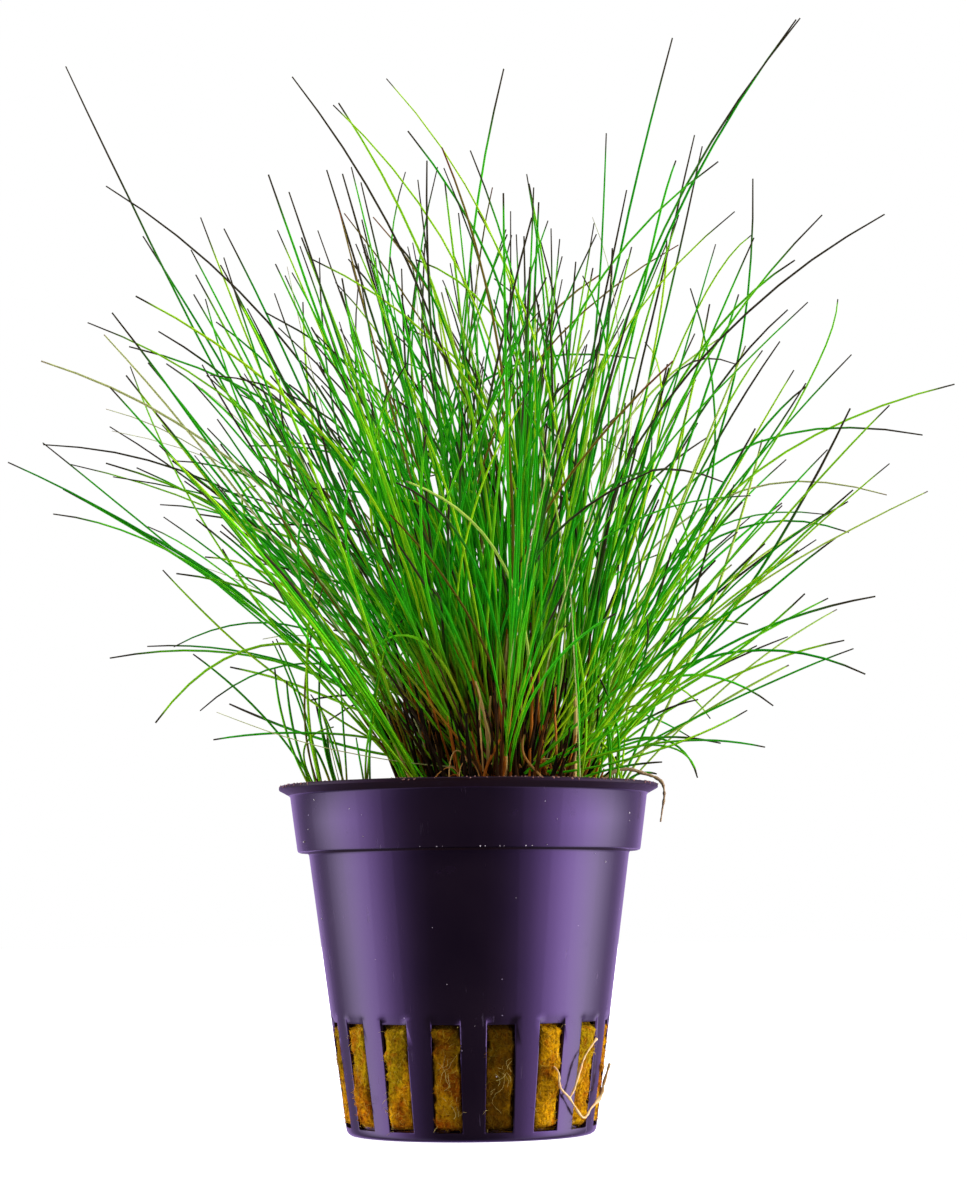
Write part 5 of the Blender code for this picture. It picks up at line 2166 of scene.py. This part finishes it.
        # Painted shade: the wool round this turn faces the front, away from the side lights, and is darkened.
        damp = bell((turn - self.damp_at) / self.damp_width)
        damp += self.damp_stray * Ripples(16, 12, 12.0, 2.5).at(points)
        hairy = np.clip(self.slot_hair * in_slot + self.top_hair * on_top, 0.0, 1.0)
        store_values(mesh, hairy=hairy, crumbly=on_top, damp=np.clip(damp, 0.0, 1.0))
        return mesh

    def slot_place(self, slot: int, aside: float, height: float, lift: float) -> Vector:
        """A point by a slot's opening.

        Args:
            slot: The slot's number.
            aside: Its distance from the slot's middle line.
            height: Its height.
            lift: How far it stands out from the wool.

        Returns:
            The point.
        """
        radius = self.inside(height) + self.swell + lift
        turn = self.pot.first_slot + math.tau * slot / self.pot.slots + aside / radius
        return Vector(round_point(radius, turn, height))

    def slot_threads(self, slot: int, rng: Chance) -> list[Blade]:
        """Draws pale root threads on the wool in a slot, and hairs that stand out at its edges.

        Args:
            slot: The slot's number.
            rng: The source of chance.

        Returns:
            The threads and hairs.
        """
        strands = []
        low, high = self.pot.slot_foot, self.pot.slot_top
        half = self.thread_spread * self.pot.slot_half
        look = (0.0, 0.0, 0.0)
        for _ in range(self.threads if slot in self.threaded_slots else rng.randint(0, 1)):
            height = rng.uniform(low + 1.5 * MM, high - 5.0 * MM)
            places = []
            for _ in range(4):
                places.append(self.slot_place(slot, rng.stray(half), height, 0.1 * MM))
                height += rng.uniform(*self.thread_climb)
            width = rng.uniform(*self.thread_width)
            strands.append(Blade(*places, width, width, look))
        for _ in range(self.hairs[slot == self.hairy_slot]):
            height = low + (high - low) * rng.random() ** 2
            side = -1 if slot == self.hairy_slot else rng.choice((-1, 1))
            out = rng.uniform(*self.hair_reach)
            start = self.slot_place(slot, side * half, height, -0.1 * MM)
            aside = side * half + rng.stray(self.hair_stray)
            end = self.slot_place(slot, aside, height + rng.uniform(*self.hair_rise), out)
            middle = start.lerp(end, 0.5) + UP * 0.3 * MM
            strands.append(Blade.bent(start, middle, end, *self.hair_width, look))
        return strands

    def build(self) -> None:
        """Builds the plug with its fibres, crumbs and threads, and puts it in place of its solid."""
        surface = self.mesh()
        fibre = {"Length": self.fibre_length, "Radius": self.fibre_radius, "Lift": 0.75, "Seed": 12}
        felt = Felt().material()
        fibres = grown(surface.copy(), felt_tree(), Density=self.density, Material=felt, **fibre)
        crumb = {"Density": self.crumb_density, "Size": self.crumb, "Seed": 3}
        crumbs = grown(surface.copy(), crumb_tree(), Material=DeadSheath().material(), **crumb)
        surface.materials.append(MineralWool().material())
        cream = DriedStrand("root_thread", (0.56, 0.42, 0.12), (0.34, 0.18, 0.03)).material()
        rng = Chance(self.seed)
        threads = [blade for slot in range(self.pot.slots) for blade in self.slot_threads(slot, rng)]
        thin = self.strands.mesh(threads, cream, Sides=4, Steps=12, Waver=5.0 * MM, Waver_Scale=500.0)
        finished(joined("wool_fibres", [fibres]), "wool")
        finished(joined("wool_plug_felt", [surface, crumbs, thin]), "wool", "wool_plug")


@dataclass
class PotDirt:
    """Crumbs of dirt along the pot's lip, and grains of dust on its wall."""

    pot: NetPot
    columns: int = 180
    density: float = 4.2e6
    crumb: float = 0.17 * MM
    heaps: tuple[Pair, ...] = ((-17.0, 6.0), (52.0, 13.0), (-70.0, 12.0))

    def lip(self) -> Mesh:
        """Builds a strip over the lip's top and outer edge, to be strewn with crumbs.

        Returns:
            The strip, with how crumbly it is.
        """
        rim, top = self.pot.rim_radius, self.pot.height
        profile = [(rim - 1.6 * MM, top), (rim - 0.25 * MM, top), (rim, top - 0.15 * MM)]
        profile.append((rim, top - 0.3 * MM))
        rings = [[round_point(radius, turn, z) for turn in turns(self.columns)] for radius, z in profile]
        mesh = ringed("lip", rings)
        places = np.array([place for ring in rings for place in ring])
        crumbly = 0.35 * Ripples(14, 10, 30.0, 4.0).at(places)
        for middle, width in self.heaps:
            crumbly += bell((np.degrees(turn_of(places)) - middle) / width)
        store_values(mesh, crumbly=np.clip(crumbly, 0.0, 1.0))
        return mesh

    def grains(self) -> Mesh:
        """Builds the grains on the wall.

        Returns:
            Their mesh.
        """
        whole = bmesh.new()
        for x, z, radius in POT_GRAINS:
            place = Matrix.Translation(self.pot.wall_point(x * MM, z * MM))
            bmesh.ops.create_icosphere(whole, subdivisions=1, radius=radius * MM, matrix=place)
        mesh = closed("grains", whole)
        mesh.shade_smooth()
        mesh.materials.append(DriedStrand("dust_grain", (0.70, 0.62, 0.72), (0.30, 0.22, 0.22)).material())
        return mesh

    def build(self) -> None:
        """Builds the dirt, which lies on the pot."""
        brown = DriedStrand("dirt_crumb", (0.30, 0.13, 0.11), (0.07, 0.025, 0.02)).material()
        crumb = {"Density": self.density, "Size": self.crumb, "Seed": 5}
        crumbs = grown(self.lip(), crumb_tree(), Material=brown, **crumb)
        finished(joined("pot_dirt", [crumbs, self.grains()]), "pot_plastic")


@dataclass
class RootCrown:
    """The crown: a rough dome, the dead sheaths that stand on it, roots that loop out, and crumbs."""

    strands: Strands
    crown: Crown = Crown()
    rings: int = 22
    columns: int = 96
    lump: float = 0.28 * MM
    crumb_density: float = 1.2e6
    crumb: float = 0.35 * MM
    husks: int = 420
    husk_height: Pair = (5.0 * MM, 26.0 * MM)
    husk_width: Pair = (0.2 * MM, 0.46 * MM)
    husk_tip: float = 0.55
    husk_reach: float = 0.97
    husk_drop: float = 0.8 * MM
    husk_lean: float = 0.45
    husk_stray: float = 0.12
    husk_shorter: float = 0.3
    husk_arch: float = 0.06
    husk_bend_stray: float = 0.07
    husk_tone_stray: float = 0.05
    husk_tones: Row = (0.0, 0.15, 0.35, 0.66, 0.95)
    husk_tone_shares: tuple[int, ...] = (32, 27, 20, 15, 6)
    low_from: float = 11.0 * MM
    low_share: float = 0.5
    roots: int = 42
    root_width: Pair = (0.07 * MM, 0.15 * MM)
    root_ring: Pair = (0.2, 1.0)
    root_aside: float = 6.0 * MM
    root_loop: Pair = (1.5 * MM, 6.5 * MM)
    root_stray: float = 1.2 * MM
    root_tones: Pair = (0.55, 1.0)
    seed: int = 77

    def dome(self) -> Mesh:
        """Builds the rough dome.

        Returns:
            The mesh, with how crumbly it is.
        """
        crown = self.crown
        low = crown.foot + 0.05 * MM
        radii = [crown.radius * i / self.rings for i in reversed(range(1, self.rings))]
        levels = [(crown.radius - crown.edge, low), (crown.radius, crown.foot + crown.edge)]
        levels += [(radius, crown.height(radius)) for radius in radii]
        rings = []
        for radius, z in levels:
            ways = [(radius * math.cos(turn), radius * math.sin(turn)) for turn in turns(self.columns)]
            rings.append([(crown.x + x, y, z) for x, y in ways])
        mesh = ringed("crown_dome", rings, [(crown.x, 0.0, z) for z in (low, crown.height(0.0))])
        points = vertex_places(mesh)
        above = smooth_step(crown.foot, crown.foot + crown.edge, points[:, 2])
        points[:, 2] += above * self.lump * Ripples(8, 24, 5.0, 0.9).at(points)
        mesh.vertices.foreach_set("co", points.ravel())
        store_values(mesh, crumbly=above)
        return mesh

    def on_dome(self, place: Vector) -> Vector:
        """The point of the dome above or below a place."""
        return self.crown.seat(place.x, place.y)[0]

    def dead_sheaths(self, rng: Chance) -> list[Blade]:
        """Draws short dead sheaths over the whole dome, which lean out towards its edge.

        Args:
            rng: The source of chance.

        Returns:
            The sheaths.
        """
        sheaths = []
        middle = Vector((self.crown.x, 0.0, 0.0))
        for _ in range(self.husks):
            out = rng.way_out()
            share = self.husk_reach * math.sqrt(rng.random())
            root = self.on_dome(middle + out * (share * self.crown.radius)) - UP * self.husk_drop
            heading = (UP + out * self.husk_lean * share + rng.offset(self.husk_stray)).normalized()
            size = rng.triangular(*self.husk_height) * (1.0 - self.husk_shorter * share)
            size *= self.low_share if root.x > self.low_from else 1.0
            tip = root + heading * size
            bend = root.lerp(tip, 0.5) + rng.offset(self.husk_bend_stray * size)
            bend += UP * self.husk_arch * size
            tone = rng.choices(self.husk_tones, self.husk_tone_shares)[0]
            foot = rng.uniform(*self.husk_width)
            look = (tone + rng.stray(self.husk_tone_stray), 0.0, 1.0)
            sheaths.append(Blade.bent(root, bend, tip, foot, self.husk_tip * foot, look))
        return sheaths

    def loose_roots(self, rng: Chance) -> list[Blade]:
        """Draws fine roots that loop out of the dome and back.

        Args:
            rng: The source of chance.

        Returns:
            The roots.
        """
        roots = []
        middle = Vector((self.crown.x, 0.0, 0.0))
        for _ in range(self.roots):
            out = rng.way_out()
            reach = self.crown.radius * math.sqrt(rng.uniform(*self.root_ring))
            root = self.on_dome(middle + out * reach)
            end = self.on_dome(root + Vector((-out.y, out.x, 0.0)) * rng.stray(self.root_aside))
            loop = rng.uniform(*self.root_loop)
            lower = root + UP * loop + rng.offset(self.root_stray)
            upper = end + UP * loop * rng.uniform(0.3, 1.0) + rng.offset(self.root_stray)
            width = rng.uniform(*self.root_width)
            look = (rng.uniform(*self.root_tones), 0.0, 1.0)
            roots.append(Blade(root, lower, upper, end - UP * 0.5 * MM, width, width, look))
        return roots

    def front_strands(self) -> list[Blade]:
        """Draws the leaves and roots that stand out at the crown's front.

        Returns:
            The strands.
        """
        strands = []
        for *points, depth, width, tone in CROWN_STRANDS:
            strands.append(Blade(*seen_places(points, depth), width * MM, width * MM, (tone, 0.0, 1.0)))
        return strands

    def build(self) -> None:
        """Builds the crown and puts it in place of its solid."""
        rng = Chance(self.seed)
        finish = DeadSheath().material()
        dome = self.dome()
        crumb = {"Density": self.crumb_density, "Size": self.crumb, "Seed": 9}
        crumbs = grown(dome.copy(), crumb_tree(), Material=finish, **crumb)
        husk = {"Steps": 6, "Sheath_Height": 6.0 * MM, "Point": 3.0, "Waver": 1.2 * MM, "Waver_Scale": 160.0}
        sheaths = self.strands.mesh(self.dead_sheaths(rng), finish, **husk)
        loose = self.loose_roots(rng) + self.front_strands()
        roots = self.strands.mesh(loose, finish, Steps=12, Waver_Scale=220.0)
        dome.materials.append(finish)
        finished(joined("root_crown_mat", [dome, crumbs, sheaths, roots]), "crown", "root_crown")


# Loose strands


@dataclass
class LooseStrands:
    """The stray root with its branch, whose far end is frayed, and the dry leaf bent over the rim."""

    slimness: float = 0.56
    frayed_slimness: float = 1.1
    frayed_from: float = 17.2 * MM
    least_radius: float = 0.095 * MM
    knobs: Pair = (0.65, 1.35)
    same_place: float = 0.001 * MM
    smooth_steps: int = 5
    seed: int = 31

    def smooth_path(self, points: Sequence[Row]) -> list[Vector]:
        """A smooth line through points given in millimetres.

        Args:
            points: The line's own points.

        Returns:
            The points of the smooth line, in metres.
        """
        ends = [Vector(point) * MM for point in points]
        padded = [2 * ends[0] - ends[1], *ends, 2 * ends[-1] - ends[-2]]
        path = []
        for before, start, end, after in zip(padded, padded[1:], padded[2:], padded[3:]):
            slope = end - before
            bend = 2 * before - 5 * start + 4 * end - after
            twist = 3 * start - before - 3 * end + after
            for i in range(self.smooth_steps):
                share = i / self.smooth_steps
                path.append(0.5 * (2 * start + slope * share + bend * share**2 + twist * share**3))
        return path + [ends[-1]]

    def tube(self, points: Sequence[Row], ends: Sequence[float], seed: int) -> Mesh:
        """A knobbly closed tube along a smooth line.

        Args:
            points: The line's own points, in millimetres.
            ends: First, middle and last radius, in millimetres.
            seed: The seed of the knobs.

        Returns:
            The tube's mesh.
        """
        path = self.smooth_path(points)
        curve = bpy.data.curves.new("strand", "CURVE")
        curve.dimensions = "3D"
        curve.bevel_depth = 1.0
        curve.bevel_resolution = 2
        curve.use_fill_caps = True
        spline = curve.splines.new("POLY")
        spline.points.add(len(path) - 1)
        rng = Chance(seed)
        for point, place, width in zip(spline.points, path, strand_widths(len(path), ends)):
            point.co = (*place, 1.0)
            slimness = self.frayed_slimness if place.x > self.frayed_from else self.slimness
            point.radius = max(slimness * width, self.least_radius) * rng.uniform(*self.knobs)
        carrier = placed("strand", curve)
        whole = bmesh.new()
        whole.from_mesh(plain_mesh(carrier))
        bpy.data.objects.remove(carrier)
        bmesh.ops.remove_doubles(whole, verts=whole.verts, dist=self.same_place)
        bmesh.ops.recalc_face_normals(whole, faces=whole.faces)
        mesh = closed("strand", whole)
        mesh.shade_smooth()
        return mesh

    def build(self) -> None:
        """Builds both strands and puts them in place of their solids."""
        cream = DriedStrand("root_cream", (0.82, 0.58, 0.28), (0.70, 0.19, 0.03), aged_from=self.frayed_from)
        straw = DriedStrand("straw", (0.42, 0.27, 0.14), (0.14, 0.07, 0.04))
        seeds = iter(range(self.seed, self.seed + 3))
        for node, slot, finish, widths, lines in (
            ("stray_root", "root", cream, STRAY_WIDTHS, (STRAY_ROOT, STRAY_BRANCH)),
            ("dry_leaf", "straw", straw, DRY_LEAF_WIDTHS, (DRY_LEAF,)),
        ):
            piece = joined(node + "_strand", [self.tube(line, widths, next(seeds)) for line in lines])
            piece.data.materials.append(finish.material())
            finished(piece, slot, node)


# Studio


@dataclass
class RoomLight:
    """The white room: plain white to the camera, and two soft lights from the sides on the plant.

    Each light has a strength, and the direction and width of its beam, or where it starts, in degrees.
    """

    left: float = 5.0
    right: float = 6.6
    behind: float = 0.88
    above: float = 1.2
    fill: float = 0.11
    violet: Row = (0.66, 0.44, 1.0, 1.0)
    left_at: Pair = (-88.0, 19.0)
    right_at: Pair = (85.0, 22.0)
    level: Pair = (5.0, 36.0)
    behind_from: Pair = (125.0, 160.0)
    above_from: Pair = (30.0, 75.0)
    violet_from: Pair = (100.0, 145.0)

    def hump(self, board: NodeBoard, value: Socket, middle: float, width: float) -> Socket:
        """A bell curve over an angle in radians, its middle and width in degrees."""
        away = board.math("DIVIDE", board.minus(value, math.radians(middle)), math.radians(width))
        return board.math("EXPONENT", board.times(board.times(away, away), -0.5))

    def build(self) -> None:
        """Sets the room's brightness and colour by direction."""
        world = bpy.data.worlds.new("white_room")
        world.use_nodes = True
        bpy.context.scene.world = world
        board = NodeBoard(world.node_tree)
        x, y, z = board.parts(board.add("ShaderNodeTexCoord").outputs["Generated"])
        turn = board.math("ARCTAN2", x, board.times(y, -1.0))
        height, aside = board.math("ARCSINE", z), board.math("ABSOLUTE", turn)
        left = board.times(self.hump(board, turn, *self.left_at), self.left)
        right = board.times(self.hump(board, turn, *self.right_at), self.right)
        sides = board.times(board.plus(left, right), self.hump(board, height, *self.level))
        back = board.step(aside, *np.radians(self.behind_from).tolist(), 0.0, self.behind)
        top = board.step(height, *np.radians(self.above_from).tolist(), 0.0, self.above)
        total = board.plus(board.plus(sides, self.fill), board.most(back, top))
        seen = board.add("ShaderNodeLightPath").outputs["Is Camera Ray"]
        violet = board.step(aside, *np.radians(self.violet_from).tolist())
        violet = board.times(violet, board.minus(1.0, seen))
        colour = board.blend(violet, (1.0, 1.0, 1.0, 1.0), self.violet, "RGBA")
        strength = board.blend(seen, total, 1.0, "FLOAT")
        board.put(board.tree.nodes["Background"], Color=colour, Strength=strength)


@dataclass
class Studio:
    """The pale floor, the soft lights and the camera."""

    image_height: int = 1200
    focal_pixels: float = 2940.0
    sensor: float = 36.0
    nearest: float = 0.01
    pitch: float = math.radians(6.2)
    roll: float = math.radians(-0.55)
    floor_radius: float = 3.0
    floor_drop: float = 0.02 * MM
    floor_glow: float = 0.85
    floor_low: Colour = (0.93, 0.93, 0.93)
    floor_high: Colour = (0.95, 0.95, 0.95)

    def build(self) -> None:
        """Builds the whole studio."""
        self.add_floor()
        RoomLight().build()
        self.add_camera()
        bpy.context.scene.view_settings.view_transform = "Standard"

    def add_floor(self) -> None:
        """Adds a wide round floor that glows white and takes only a faint shadow."""
        disc = bmesh.new()
        bmesh.ops.create_circle(disc, cap_ends=True, segments=96, radius=self.floor_radius)
        floor = placed("studio_floor", closed("studio_floor", disc))
        skin = Surface("floor_white", Roughness=0.8, Specular_IOR_Level=0.1)
        skin.put(skin.shader, Emission_Color=(1.0, 1.0, 1.0, 1.0), Emission_Strength=self.floor_glow)
        white = skin.ramp(skin.noise(3.0), (0.3, self.floor_low), (0.7, self.floor_high))
        floor.data.materials.append(skin.paint(white))
        floor.location.z = -self.floor_drop
        floor.visible_diffuse = False
        floor.visible_glossy = False

    def add_camera(self) -> None:
        """Adds the camera at the photograph's place, tilted up a little and rolled."""
        camera = bpy.data.cameras.new("camera")
        camera.sensor_width = self.sensor
        camera.lens = self.focal_pixels / self.image_height * self.sensor
        camera.clip_start = self.nearest
        holder = placed("camera", camera)
        holder.location = EYE
        level = Euler((math.pi / 2 + self.pitch, 0.0, 0.0)).to_quaternion()
        holder.rotation_euler = (level @ Euler((0.0, 0.0, self.roll)).to_quaternion()).to_euler()
        bpy.context.scene.camera = holder


# The whole scene


def main() -> None:
    """Builds the studio, then each sub-assembly, and notes the sizes."""
    logging.basicConfig(level=logging.INFO, format="%(name)s: %(message)s")
    Studio().build()
    pot = NetPot()
    pot.build()
    strands = Strands()
    WoolPlug(pot, strands).build()
    PotDirt(pot).build()
    RootCrown(strands).build()
    LooseStrands().build()
    Grass(strands).build()


if __name__ == "__main__":
    main()
